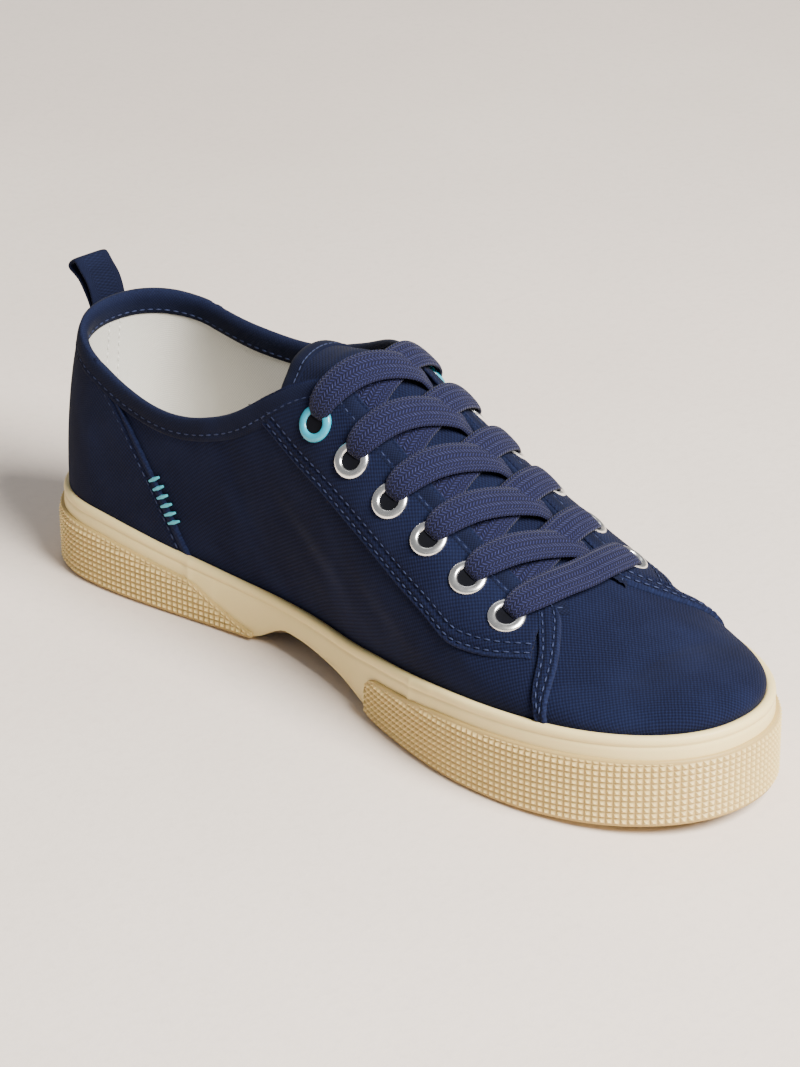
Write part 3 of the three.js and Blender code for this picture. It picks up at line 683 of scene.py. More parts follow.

# %% [markdown]
# Vulcanised rubber is matt with a soft shine and slightly blotched by dust. Shade is painted into
# the low places of a moulded texture: the rim mark of a sheet says how high a point stands, so the
# same node paints shade into the valleys between the small pyramids of the bumpers.

# %% Rubbers
def moulded(name, valley_shade_colour, face, dusty, roughness, valley_shade_share):
    """Moulded rubber; the last argument is the share of painted shade its low places take."""
    constants = {"Specular_IOR_Level": 0.4, "Subsurface_Weight": 0.04, "Subsurface_Scale": 0.002}
    material, shader = finish(name, roughness, **constants)
    place = object_point(material)
    blotch = noise(material, place, 45.0, 4.0, 0.6)
    grain = noise(material, place, 900.0, 2.0, 0.6)
    dust = spread(material, blotch, 0.35, 0.75, 0.0, 0.35)
    # Painted shade: low rim marks take the shade colour, high ones keep the face colour.
    shade = spread(material, rim_mark(material), 0.0, 1.0, valley_shade_share, 0.0)
    colour = blend_colours(material, shade, blend_colours(material, dust, face, dusty), valley_shade_colour)
    gloss = spread(material, blotch, 0.3, 0.7, roughness - 0.06, roughness + 0.08)
    return dress(material, shader, colour, raised(material, grain, 0.00006, 0.5), gloss)


BAND_RUBBER = moulded(
    "cream_band_rubber", srgb(184, 158, 106), srgb(234, 212, 150), srgb(224, 200, 136), 0.5, 0.0
)
# Painted shade: the bumpers' valleys take most of the dark brown.
BUMPER_RUBBER = moulded(
    "cream_bumper_rubber", srgb(156, 124, 62), srgb(242, 219, 152), srgb(232, 206, 138), 0.52, 0.9
)
# Painted shade: the sole rubber is dark brown, darker than its tan, as the shade under the arch.
SHADED_SOLE_RUBBER = moulded(
    "sole_rubber_painted_shade", srgb(60, 48, 32), srgb(104, 86, 60), srgb(88, 72, 50), 0.6, 0.0
)
print("rubbers:", BAND_RUBBER.name, BUMPER_RUBBER.name, SHADED_SOLE_RUBBER.name)

# %% [markdown]
# The lace is a flat braid: bundles of yarn that run in V shapes along it, with paler flecks where
# a bundle turns over. The V is made by folding the width of the strip and slanting waves over it.

# %% Braid, thread and metal
def braided(name, dark, light, fleck, rib, slant, across_rib):
    """Flat braid; rib is the step of its bundles and across_rib the width of one V, in mm."""
    constants = {"Specular_IOR_Level": 0.18, "Sheen_Weight": 0.06, "Sheen_Roughness": 0.4}
    material, shader = finish(name, 0.82, **constants)
    where, u, v = thread_map_node(material)
    folded = maths(material, "PINGPONG", v, across_rib)
    slanted = maths(material, "ADD", u, times(material, folded, slant))
    wave = maths(material, "SINE", times(material, slanted, 2 * math.pi / rib))
    column = maths(material, "SINE", times(material, v, math.pi / across_rib))
    edge = spread(material, maths(material, "ABSOLUTE", column), 0, 0.75, 0.1, 1)
    bundle = times(material, spread(material, wave, -1, 1), edge)
    spark = spread(material, noise(material, where, 2.2, 2.0, 0.7), 0.5, 0.72)
    body = blend_colours(material, spread(material, bundle, 0.15, 0.8), dark, light)
    flecks = times(material, times(material, spread(material, bundle, 0.55, 0.9), spark), 0.75)
    colour = blend_colours(material, flecks, body, fleck)
    return dress(material, shader, colour, raised(material, bundle, 0.00028, 0.9))


def smooth_finish(name, colour, other, roughness, **constants):
    """A plain hard finish with fine blotches in its colour and shine."""
    material, shader = finish(name, roughness, **constants)
    blotch = noise(material, object_point(material), 320.0, 3.0, 0.6)
    mixed = blend_colours(material, spread(material, blotch, 0.35, 0.7), colour, other)
    gloss = spread(material, blotch, 0.3, 0.7, roughness - 0.05, roughness + 0.08)
    return dress(material, shader, mixed, raised(material, blotch, 0.00003, 0.4), gloss)


BRAID = braided("navy_braid", srgb(12, 13, 35), srgb(29, 32, 69), srgb(64, 71, 118), 1.05, 0.9, 1.15)
THREAD = smooth_finish(
    "navy_thread", srgb(30, 37, 64), srgb(46, 55, 86), 0.65, Specular_IOR_Level=0.25
)
PALE_THREAD = smooth_finish(
    "pale_thread", srgb(206, 205, 197), srgb(226, 224, 216), 0.7, Specular_IOR_Level=0.2
)
BRIGHT_THREAD = smooth_finish(
    "turquoise_thread", srgb(42, 160, 182), srgb(68, 178, 194), 0.5, Sheen_Weight=0.1
)
SILVER = smooth_finish(
    "polished_silver", srgb(246, 246, 244), srgb(234, 234, 232), 0.25, Metallic=1.0
)
ENAMEL = smooth_finish(
    "turquoise_enamel", srgb(34, 152, 176), srgb(28, 142, 168), 0.35, Coat_Weight=0.5, Coat_Roughness=0.15
)
# Painted shadow: near black for the disc inside each eyelet's hole.
HOLE_SHADOW_PAINT = smooth_finish(
    "painted_hole_shadow", srgb(8, 9, 14), srgb(12, 13, 20), 0.9, Specular_IOR_Level=0.1
)
print("braid, threads and metals ready")

# %% [markdown]
# ## The canvas shell
# The upper is cut from canvas, sewn into a tube and pulled over the last. Here one sheet wraps the
# whole last, from under the rubber band to the collar and the throat, and is merged at the heel.

# %% Canvas shell
def shell_where(lift, creased):
    def where(s, t):
        turn = np.where(t < 0, 0.0, t) * edge_at(s)
        place = skin(s, turn, lift, creased)
        place[..., 2] -= np.where(t < 0, 4.0, 0.0)
        return place
    return where


def shell_threads(s, t):
    return threads_at(s, np.clip(t, 0, 1) * edge_at(s))


shell_rows = np.concatenate([[-0.1], np.linspace(0, 1, 34)])
finish_piece(
    lay_grid(RIBS, shell_rows, shell_where(0.0, 1.0), shell_threads),
    "canvas_shell", CANVAS, ["upper"], thickness=0.85,
)

# %% [markdown]
# ## The lining
# Inside is a layer of pale cotton. It is the same sheet, laid one wall's thickness inside the
# canvas, and its thickness grows outwards, so that the foot's side stays where it was laid.

# %% Lining
finish_piece(
    lay_grid(RIBS[::2], shell_rows[::2], shell_where(-WALL, 0.6), shell_threads),
    "lining", LINING, thickness=0.8, offset=1.0,
)

# %% [markdown]
# ## Stitches
# A machine stitch is a short length of thread that dips into the cloth at both ends. One stitch is
# a small stretched ball, and a row of them follows a line on the last. All navy stitches are
# joined in one mesh, which keeps hundreds of them cheap.

# %% Stitch helpers
def measured(points):
    """Distance along a line of points, in mm."""
    return np.concatenate([[0], np.cumsum(np.linalg.norm(np.diff(points, axis=0), axis=1))])


def resample(station, turn, spacing):
    """The same line on the last with evenly spaced points."""
    length = measured(last(station, turn))
    count = max(int(round(length[-1] / spacing)), 2)
    even = np.linspace(0, length[-1], count + 1)
    return np.interp(even, length, station), np.interp(even, length, turn)


def shifted(station, turn, side_step):
    """The line moved sideways over the cloth, positive to the left of its direction."""
    points = last(station, turn)
    ahead = np.gradient(points, axis=0)
    ahead /= np.linalg.norm(ahead, axis=1, keepdims=True)
    sideways = np.cross(normal_at(station, turn), ahead)
    return press(points + sideways * side_step, station, turn)


def sew_one(bm, point, normal, way, length, width, height):
    """Adds one stitch that lies along way, with its back towards normal."""
    x, z = Vector(way).normalized(), Vector(normal).normalized()
    y = z.cross(x).normalized()
    turn = Matrix((x, y, x.cross(y))).transposed().to_4x4()
    size = Matrix.Diagonal((length / 1000, width / 1000, height / 1000, 1))
    place = Matrix.Translation(Vector(to_frame(point)))
    bmesh.ops.create_uvsphere(bm, u_segments=6, v_segments=4, radius=0.5, matrix=place @ turn @ size)


def sew(bm, points, normals, length=2.1, width=0.55, height=0.5):
    """Adds one stitch at every point, lying along the line."""
    for point, out, way in zip(points, normals, np.gradient(points, axis=0)):
        sew_one(bm, point, out, way, length, width, height)


def sew_row(bm, station, turn, lift, pitch=2.9, creased=1.0, **shape):
    station, turn = resample(station, turn, pitch)
    sew(bm, skin(station, turn, lift, creased), normal_at(station, turn), **shape)


navy_rows = bmesh.new()
print("stitch tools ready")

# %% [markdown]
# The lining is joined at the back of the heel, where two rows of pale stitches run up beside the
# joint. They lie on the foot's side of the lining.

# %% Heel seam of the lining
pale_rows = bmesh.new()
for beside in (-0.5, 0.5):
    seam_turns = np.linspace(0.42, 0.9, 60) * edge_at(beside)
    sew_row(pale_rows, np.full(60, beside), seam_turns, -WALL - 0.05, creased=0.6)
for face in pale_rows.faces:
    face.smooth = True
finish_piece(pale_rows, "lining_stitches", PALE_THREAD, closed=True, merge=1e-7)

# %% [markdown]
# ## Seam lines
# The pattern of the upper is a few lines drawn on the last: the outer seam of the eyestay, the two
# edges of the strip in front of it, and the edge of the heel patch. Each is marked by a few points
# on the inner side, in millimetres from the heel, and is mirrored to the outer side.

# %% Seam lines on the last
EYESTAY_SEAM = [
    (101.2, -24.3, 73.6), (115.5, -25.4, 66.5), (132.7, -27.6, 60), (148.9, -29.7, 53),
    (165.7, -32.6, 46.4), (178.3, -34.7, 42.1), (189.1, -36.5, 38.2), (196.7, -36.3, 37.8),
    (205, -34.5, 38.3), (214.5, -29.5, 39.3),
]
STRIP_FRONT = [
    (206.1, -11.3, 47.7), (212.6, -15.6, 44.5), (220.2, -24.7, 39.7), (224.1, -31.4, 35.7),
    (226.5, -36, 31.1),
]
STRIP_REAR = [(203.5, -16.1, 47.8), (210.6, -22.4, 43.5), (216.9, -29.4, 38.7), (222.6, -36.9, 30.8)]
HEEL_PATCH = [(25.9, -22.9, 78), (35.6, -25.9, 67.6), (49.8, -28, 54.4), (60.5, -27.4, 39), (69.1, -24.7, 21)]


def seam_line(marks, count=60):
    marks = np.array(marks, float)
    station = station_of(marks[:, 0], False)
    ridge = flow(RIDGE, (marks[:, 0] - HEEL_X) / LENGTH)
    base = sole_height(station, 1)
    turn = np.arcsin(np.clip((marks[:, 2] - base) / (ridge - base), 0.02, 0.97))
    placed = np.stack(press(marks, station, turn), 1)
    line = spline(placed, count)
    return line[:, 0], line[:, 1]


UNDER_BAND = -0.05


def to_band(line):
    """Carries a line on, a little steeper, until it is under the band."""
    station, turn = line
    slope = (station[-1] - station[-6]) / (turn[-1] - turn[-6])
    end = station[-1] + slope * (UNDER_BAND - turn[-1]) * 0.6
    return np.append(station, end), np.append(turn, UNDER_BAND)


def on_side(place, outer):
    """Mirrors a place of the inner side to the outer side, where that is asked for."""
    return (ROUND - place[0], place[1]) if outer else place


eyestay_seam = seam_line(EYESTAY_SEAM)
strip_front = to_band(seam_line(STRIP_FRONT))
strip_rear = to_band(seam_line(STRIP_REAR))
heel_edge = seam_line(HEEL_PATCH)
for title, line in (("eyestay", eyestay_seam), ("strip", strip_front), ("heel patch", heel_edge)):
    print(title, "seam:", round(float(measured(last(*line))[-1]), 1), "mm")

# %% [markdown]
# ## Eyestays
# The eyestay is a second layer of canvas round the eyelets, folded under at its edge and sewn with
# two rows of stitches. It is a sheet between the throat's edge and the outer seam. Its lift rises
# in a small quarter round at the seam and dips along each row, where the thread pulls it down.

# %% Eyestay overlays
OVERLAY_LIFT = 1.15
THREAD_SINK = 0.2
ROW_INSETS = (1.7, 4.6)


def quilted(distance, rows, top=OVERLAY_LIFT, roll=0.8, dip=0.55):
    """Lift of an overlay at a distance from its folded edge."""
    back = 1 - np.clip(distance / roll, 0, 1)
    lift = -0.25 + (top + 0.25) * np.sqrt(np.clip(1 - back * back, 0, 1))
    for row in rows:
        lift = lift - dip * np.exp(-(((distance - row) / 0.75) ** 2))
    return lift


def throat_edge(start_x, end_x):
    """Inner side's top edge of the cloth from one x to another, as stations and turns."""
    station = ROUND - np.linspace(station_of(start_x, True), station_of(end_x, True), 300)
    return resample(station, edge_at(station), 1.5)


def between(line_a, line_b, s, t):
    """A place at share t between two lines, at share s of both."""
    picked = []
    for line in (line_a, line_b):
        share = measured(last(*line))
        share = share / share[-1]
        picked.append((np.interp(s, share, line[0]), np.interp(s, share, line[1])))
    (sa, ta), (sb, tb) = picked
    return sa + (sb - sa) * t, ta + (tb - ta) * t


eyestay_edge = throat_edge(97.0, 205.5)
eyestay_outer = (
    np.append(eyestay_edge[0][0] + 0.02, eyestay_seam[0]), np.append(eyestay_edge[1][0], eyestay_seam[1])
)


def make_eyestay(name, outer):
    def where(s, t):
        place = between(eyestay_edge, eyestay_outer, s, t)
        edge = last(*between(eyestay_edge, eyestay_outer, s, np.ones_like(t)))
        distance = np.linalg.norm(last(*place) - edge, axis=-1)
        return skin(*on_side(place, outer), quilted(distance, ROW_INSETS))

    def threads(s, t):
        return threads_at(*on_side(between(eyestay_edge, eyestay_outer, s, t), outer))

    def rim(s, t):
        return np.clip((t - 0.93) / 0.07, 0, 1)

    rows = 1 - fine_ends(40, 1.5)[::-1]
    bm = lay_grid(np.linspace(0, 1, 90), rows, where, threads, rim)
    finish_piece(bm, name, CANVAS, thickness=0.8)


make_eyestay("eyestay_inner_side", False)
make_eyestay("eyestay_outer_side", True)
for inset in ROW_INSETS:
    row = shifted(*eyestay_seam, inset)
    for outer in (False, True):
        station, turn = on_side(row, outer)
        sew_row(navy_rows, station[1:-1], turn[1:-1], OVERLAY_LIFT - THREAD_SINK)

# %% [markdown]
# ## Strips in front of the eyestays
# On each side a narrow folded strip covers the joint of the quarter and the vamp. It runs from the
# end of the throat down to the band, lies over both panels and has a stitch row near each edge.

# %% Front strips
STRIP_LIFT, STRIP_ROW = 1.6, 1.5
STRIP_TUCK = 0.08
END_LIFT = 0.2


def make_strip(name, outer):
    def where(s, t):
        place = between(strip_rear, strip_front, s, t)
        edges = [last(*between(strip_rear, strip_front, s, np.full_like(t, side))) for side in (0.0, 1.0)]
        distance = np.minimum(*[np.linalg.norm(last(*place) - edge, axis=-1) for edge in edges])
        tucked = smooth_step(s / STRIP_TUCK)
        lift = END_LIFT + (quilted(distance, (STRIP_ROW,), STRIP_LIFT) - END_LIFT) * tucked
        return skin(*on_side(place, outer), lift)

    def threads(s, t):
        return threads_at(*on_side(between(strip_rear, strip_front, s, t), outer))

    def rim(s, t):
        return np.clip((np.abs(t - 0.5) - 0.4) / 0.1, 0, 1)

    bm = lay_grid(np.linspace(0, 1, 60), fine_ends(26, 1.5), where, threads, rim)
    finish_piece(bm, name, CANVAS, thickness=0.9)


make_strip("strip_inner_side", False)
make_strip("strip_outer_side", True)
for line, side_step in ((strip_front, -STRIP_ROW), (strip_rear, STRIP_ROW)):
    row = shifted(line[0][6:-1], line[1][6:-1], side_step)
    for outer in (False, True):
        sew_row(navy_rows, *on_side(row, outer), STRIP_LIFT - THREAD_SINK)

# %% [markdown]
# ## Heel patch
# A patch wraps the back of the heel and covers the seam there. Its front edges run down and
# forwards. It is laid in rows from the band to the collar, each as long as the patch is there.

# %% Heel patch
HEEL_LIFT, HEEL_ROW = 1.05, 3.6


def heel_reach(height_share):
    """How many stations the patch reaches from the heel, at a share of the cloth's height."""
    station, turn = heel_edge
    share = turn / edge_at(station)
    order = np.argsort(share)
    lean = np.polyfit(share[order][:8], (ROUND - station)[order][:8], 1)
    reach = np.interp(height_share, share[order], (ROUND - station)[order])
    return np.where(height_share < share.min(), np.polyval(lean, height_share), reach)


def heel_where(s, t):
    reach = heel_reach(t)
    share = np.clip(t, 0, 1)
    station = (2 * s - 1) * reach
    turn = share * edge_at(station)
    here = last(station, turn)
    sides = [last(side * reach, share * edge_at(side * reach)) for side in (-1, 1)]
    distance = np.minimum(*[np.linalg.norm(here - side, axis=-1) for side in sides])
    place = skin(station, turn, quilted(distance, (HEEL_ROW,), HEEL_LIFT))
    place[..., 2] -= np.where(t < 0, 2.0, 0.0)
    return place


def heel_threads(s, t):
    station = (2 * s - 1) * heel_reach(t)
    return threads_at(station, np.clip(t, 0, 1) * edge_at(station))


def heel_rim(s, t):
    return np.clip((np.abs(s - 0.5) - 0.485) / 0.015, 0, 1)


heel_rows = np.concatenate([[-0.05], np.linspace(0, 1, 36)])
finish_piece(
    lay_grid(fine_ends(120, 1.3), heel_rows, heel_where, heel_threads, heel_rim),
    "heel_patch", CANVAS, thickness=0.8,
)
share_rows = np.linspace(0.02, 0.94, 60)
patch_station = ROUND - heel_reach(share_rows)
patch_line = (patch_station, share_rows * edge_at(patch_station))
patch_row = shifted(*patch_line, HEEL_ROW)
if np.mean(patch_row[0]) < np.mean(patch_station):
    patch_row = shifted(*patch_line, -HEEL_ROW)
for outer in (False, True):
    sew_row(navy_rows, *on_side(patch_row, outer), HEEL_LIFT - THREAD_SINK)

# %% [markdown]
# ## Bar tacks
# A few plain parallel stitches of bright thread hold the patch's edge low on the inner side. They
# lie straight across the seam, all alike and evenly spaced.

# %% Bar tacks
TACK_HEIGHTS = (30.0, 42.5)
TACKS = 6
TACK_LENGTH = 6.4
TACK_WIDTH = 1.4


def make_tacks():
    bm = bmesh.new()
    height = last(*patch_line)[:, 2]
    order = np.argsort(height)
    heights = np.linspace(*TACK_HEIGHTS, TACKS)
    station = np.interp(heights, height[order], patch_line[0][order])
    turn = np.interp(heights, height[order], patch_line[1][order])
    points = skin(station, turn, HEEL_LIFT - 0.1)
    out = normal_at(station, turn)
    ahead = np.gradient(last(station, turn), axis=0)
    across = np.cross(out, ahead)
    for point, normal, way in zip(points, out, across):
        sew_one(bm, point, normal, way, TACK_LENGTH, TACK_WIDTH, TACK_WIDTH)
    finish_piece(bm, "bar_tacks", BRIGHT_THREAD, closed=True, merge=0.000001)


make_tacks()

# %% [markdown]
# ## Edge binding
# A folded tape finishes the collar and the facings. It lies outside, goes over the edge and comes
# down inside, so its section is a narrow U. The section is carried along the edge of the cloth,
# from the end of one facing round the heel to the end of the other.

# %% Edge line
BINDING_ROW = 4.9
EDGE_END_X = 206.5


def binding_line():
    """The edge of the cloth from the outer facing round the heel to the inner facing."""
    end = float(station_of(EDGE_END_X, True))
    station = np.linspace(end, -end, 1600)
    turn = edge_at(station)
    station, turn = resample(station, turn, 1.0)
    window = np.hanning(9)[1:-1]
    window /= window.sum()
    padded = [np.pad(values, len(window) // 2, mode="edge") for values in (station, turn)]
    return resample(*[np.convolve(values, window, "valid") for values in padded], 1.2)


edge_station, edge_turns = binding_line()
edge_points = last(edge_station, edge_turns)
edge_normals = normal_at(edge_station, edge_turns)
edge_ahead = np.gradient(edge_points, axis=0)
edge_ahead /= np.linalg.norm(edge_ahead, axis=1, keepdims=True)
edge_down = np.cross(edge_normals, edge_ahead)
probe = last(edge_station, edge_turns - 0.05) - edge_points
edge_down *= np.sign((edge_down * probe).sum(-1, keepdims=True))
print("edge:", round(float(measured(edge_points)[-1])), "mm long")

# %% Binding
BINDING_SECTION = [  # distance down from the edge, height outside the last; from outside to inside
    (6.8, 0.15), (6.6, 0.65), (6.2, 1.1), (5.6, 1.25), (4.9, 0.95), (4.2, 1.25), (3.0, 1.35),
    (1.6, 1.3), (0.5, 1.1), (-0.2, 0.7), (-0.6, 0.1), (-0.7, -0.7), (-0.5, -1.5), (0.1, -2.1),
    (1.2, -2.35), (3.0, -2.4), (4.9, -2.2), (6.2, -2.3), (6.6, -1.9),
]


def edge_place(s, down, lift):
    """A place beside the edge line: s along it, down over the cloth, lift off the last."""
    point, low = pick_rows(edge_points, s), pick_rows(edge_down, s)
    station, turn = pick_rows(np.stack([edge_station, edge_turns], 1), s).T
    near = press(point + low * np.maximum(down, 0.0)[:, None], station, turn)
    return skin(*near, lift) + low * np.minimum(down, 0.0)[:, None]


def binding_where(s, t):
    return edge_place(s, *section_at(BINDING_SECTION, t))


def binding_threads(s, t):
    across = np.interp(t, np.arange(len(BINDING_SECTION)), measured(np.array(BINDING_SECTION)))
    return np.stack([s * measured(edge_points)[-1], across], -1)


def binding_rim(s, t):
    return np.exp(-(((t - 9.5) / 2.0) ** 2)) * 0.8


binding_along = np.linspace(0, 1, len(edge_station))
binding_across = np.arange(len(BINDING_SECTION))
finish_piece(
    lay_grid(binding_along, binding_across, binding_where, binding_threads, binding_rim),
    "edge_binding", BINDING, closed=True,
)
along_edge = np.linspace(0.004, 0.996, int(measured(edge_points)[-1] / 2.9))
for lift in (1.0, -2.25):
    row_down, row_lift = np.full_like(along_edge, BINDING_ROW), np.full_like(along_edge, lift)
    sew(navy_rows, edge_place(along_edge, row_down, row_lift), pick_rows(edge_normals, along_edge))

# %% [markdown]
# ## Tongue
# The tongue is a canvas strip under the lace. Its free end is round and bound with tape, and it
# sinks back from the foot's line. Under the facings it lies a little deeper, which leaves room for
# the ends of the lace.

# %% Tongue
TONGUE_TOP, TONGUE_END, TONGUE_CORNER, TONGUE_HALF = 98.5, 216.0, 13.0, 28.0
TONGUE_LIFT = -2.3
TONGUE_DROP = [(0.340, 23), (0.380, 16.2), (0.409, 10.2), (0.432, 5.4), (0.462, 1.6), (0.500, 0)]
LEAST_TURN = math.radians(37)


def turn_for_y(station, y, low=LEAST_TURN, lift=0.0):
    """The turn at which a rib is so far from the middle line."""
    low = np.full_like(station, low)
    high = np.full_like(station, np.pi / 2)
    for _ in range(24):
        middle = (low + high) / 2
        wide = np.abs(last(station, middle, lift)[..., 1]) > np.abs(y)
        low, high = np.where(wide, middle, low), np.where(wide, high, middle)
    return (low + high) / 2


def tongue_point(a, v, lift=TONGUE_LIFT):
    """a runs from the free end to the toe, v from the inner edge, -1, to the outer edge, 1."""
    across = np.abs(v)
    tip_x = TONGUE_TOP + TONGUE_CORNER * (1 - np.sqrt(np.clip(1 - across, 0, 1))) ** 2
    x = tip_x + (TONGUE_END - tip_x) * a
    station = np.where(v >= 0, station_of(x, True), station_of(x, False))
    widest = np.abs(last(station, np.full_like(x, LEAST_TURN), lift)[..., 1])
    y = across * np.minimum(TONGUE_HALF, widest)
    turn = turn_for_y(station, y, lift=lift)
    point = last(station, turn, lift)
    half = np.maximum(throat_half(np.clip(x, THROAT_TOP, 196)), 0)
    tucked = 1.2 * smooth_step((y - half + 4.0) / 4.0)
    crown = 0.5 * np.cos(np.clip(y / half, 0, 1) * np.pi / 2)
    drop = flow(TONGUE_DROP, along_of(station)) * np.sin(turn)
    point[..., 2] += crown - tucked - drop
    return point


def tongue_threads(s, t):
    point = tongue_point(s, t)
    return np.stack([point[..., 0], point[..., 1] * 1.05], -1)


tongue_across = np.sin(np.linspace(-np.pi / 2, np.pi / 2, 61))
finish_piece(
    lay_grid(np.linspace(0, 1, 70) ** 1.3, tongue_across, tongue_point, tongue_threads),
    "tongue_canvas", CANVAS, ["tongue"], thickness=2.2,
)

# %% Tongue binding


TAPE_SECTION = [  # distance in from the tongue's rim, height above the tongue
    (6.1, 0.05), (5.9, 0.45), (5.3, 0.65), (4.4, 0.4), (3.5, 0.65), (2.0, 0.7), (0.6, 0.6),
    (-0.3, 0.1), (-0.7, -0.7), (-0.7, -1.6), (-0.3, -2.4), (0.6, -2.8), (3.0, -2.85),
    (5.9, -2.75), (6.1, -2.3),
]
TIP_SHARE = 0.40
SIDE_REACH = 0.30


def tongue_edge_place(s, down, lift):
    """A place beside the tongue's rim: s runs from the inner side round the free end."""
    turned = s - 0.5
    a = SIDE_REACH * np.clip((np.abs(turned) - TIP_SHARE) / (0.5 - TIP_SHARE), 0, 1)
    round_tip = np.sin(turned / TIP_SHARE * np.pi / 2)
    v = np.where(np.abs(turned) > TIP_SHARE, np.sign(turned) * 0.9999, round_tip)
    side = np.clip(np.abs(v), 0, 1) ** 6
    inward_a = a + down / (TONGUE_END - TONGUE_TOP) * (1 - side * 0.35)
    inward_v = v * (1 - side * np.maximum(down, 0) / 26.0)
    return tongue_point(np.maximum(inward_a, 0), inward_v, TONGUE_LIFT + lift)


def tongue_tape_where(s, t):
    down, lift = section_at(TAPE_SECTION, t)
    point = tongue_edge_place(s, np.maximum(down, 0), lift)
    point[..., 0] += np.minimum(down, 0)
    return point


def tape_threads(s, t):
    return np.stack([s * 190, t * 1.2], -1)


finish_piece(
    lay_grid(np.linspace(0, 1, 150), np.arange(len(TAPE_SECTION)), tongue_tape_where, tape_threads),
    "tongue_binding", BINDING, closed=True,
)
tape_s = np.linspace(0.06, 0.94, 50)
tape_row = tongue_edge_place(tape_s, np.full_like(tape_s, 4.4), np.full_like(tape_s, 0.45))
sew(navy_rows, tape_row, np.tile([0.0, 0.0, 1.0], (len(tape_s), 1)))

# %% [markdown]
# ## Eyelets
# An eyelet is a pressed ring with a rolled rim and a short barrel. Half of its section is spun a
# full turn, and the ring is stood on the cloth. The top pair is enamelled, the rest are polished.
# The disc that closes the barrel is painted near black, as the shadow in the hole.

# %% Eyelets
EYELETS = 6
EYELET_TOP = (124.2, 22.1)
EYELET_END = (201.1, 25.1)
RING_SECTION = [  # radius and height above the canvas
    (0.0, 1.3), (2.7, 1.3), (2.95, 1.35), (3.0, 1.45), (3.15, 1.72), (3.6, 1.9), (4.2, 1.92),
    (4.8, 1.78), (5.25, 1.5), (5.45, 1.15), (5.45, 0.4),
]
HOLE_RADIUS = 2.95


def surface_place(x, y):
    """The place of the last seen from straight above (x, y)."""
    x, y = np.broadcast_arrays(np.asarray(x, float), np.asarray(y, float))
    station = np.where(y < 0, station_of(x, False), station_of(x, True))
    turn = turn_for_y(station, y, math.pi / 7)
    return last(station, turn)


def surface_frame(x, y, step=1.5):
    along = surface_place(x + step, y) - surface_place(x - step, y)
    across = surface_place(x, y + step) - surface_place(x, y - step)
    out = np.cross(along, across)
    out /= np.linalg.norm(out, axis=-1, keepdims=True)
    return surface_place(x, y), out


def eyelet_place(row, outer):
    share = row / (EYELETS - 1)
    x = EYELET_TOP[0] + (EYELET_END[0] - EYELET_TOP[0]) * share
    y = EYELET_TOP[1] + (EYELET_END[1] - EYELET_TOP[1]) * share
    return x, y if outer else -y


def make_eyelet(row, outer):
    bm = bmesh.new()
    profile = [bm.verts.new((radius / 1000, 0, height / 1000)) for radius, height in RING_SECTION]
    lines = [bm.edges.new(pair) for pair in zip(profile[:-1], profile[1:])]
    bmesh.ops.spin(
        bm, geom=profile + lines, axis=(0, 0, 1), cent=(0, 0, 0), steps=36, angle=math.tau, use_merge=True
    )
    bmesh.ops.remove_doubles(bm, verts=bm.verts, dist=0.000002)
    bmesh.ops.recalc_face_normals(bm, faces=bm.faces)
    bm.normal_update()
    if sum(face.normal.z * face.calc_area() for face in bm.faces) < 0:
        bmesh.ops.reverse_faces(bm, faces=bm.faces)
    for face in bm.faces:
        face.smooth = True
        centre = face.calc_center_median()
        # Faces inside the hole take the painted shadow.
        face.material_index = 1 if math.hypot(centre.x, centre.y) * 1000 < HOLE_RADIUS else 0
    point, out = surface_frame(*eyelet_place(row, outer))
    stand = Vector((0, 0, 1)).rotation_difference(Vector(out)).to_matrix().to_4x4()
    bm.transform(Matrix.Translation(Vector(to_frame(point))) @ stand)
    side = "lateral" if outer else "medial"
    name = f"eyelet_{side}_{row + 1}"
    mesh = bpy.data.meshes.new("ring_" + name)
    bm.to_mesh(mesh)
    bm.free()
    ring = bpy.data.objects.new("ring_" + name, mesh)
    mesh.materials.append(ENAMEL if row == 0 else SILVER)
    mesh.materials.append(HOLE_SHADOW_PAINT)
    bpy.context.scene.collection.objects.link(ring)
    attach(ring, "root")
    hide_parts(name)


for row in range(EYELETS):
    make_eyelet(row, False)
    make_eyelet(row, True)
print("eyelets:", 2 * EYELETS)

# %% [markdown]
# ## Lace
# The lace is a flat braid about ten millimetres wide. It comes up out of an eyelet bunched, turns
# over, spreads flat and crosses towards the toe, where it tucks in under the other facing. Each
# strip is an oval section carried along its path, and its ends stop hidden under the facings.

# %% Lace strips
LACE_WIDTH = 10.6
LACE_THICK = 1.5
LACE_ADVANCE = 9.6
EXIT_SHIFT, OUTER_EXIT_SHIFT = 0.9, 0.2
LACE_END = 1.14
BRAID_MIDDLE = 26.0
OVER = [  # share of the way across, height above the last
    (0.0, 1.0), (0.045, 2.6), (0.11, 3.5), (0.28, 3.6), (0.50, 2.8), (0.66, 2.1), (0.86, 1.2),
    (1.0, -0.8), (LACE_END, -2.45),
]
UNDER = [
    (0.0, 1.0), (0.045, 2.5), (0.11, 3.3), (0.28, 2.9), (0.50, 1.2), (0.66, 0.1), (0.85, -0.6),
    (1.0, -1.2), (LACE_END, -2.45),
]
STRAIGHT = [
    (0.0, 1.0), (0.035, 2.5), (0.09, 3.3), (0.3, 3.5), (0.5, 3.0), (0.7, 3.5), (0.91, 3.3),
    (0.965, 2.5), (1.0, 1.0),
]
WIDTHS = [  # share of the way across, width of the lace
    (0.0, 6.2), (0.05, 8.4), (0.12, 9.8), (0.24, 10.4), (0.36, LACE_WIDTH), (LACE_END, LACE_WIDTH - 0.4),
]
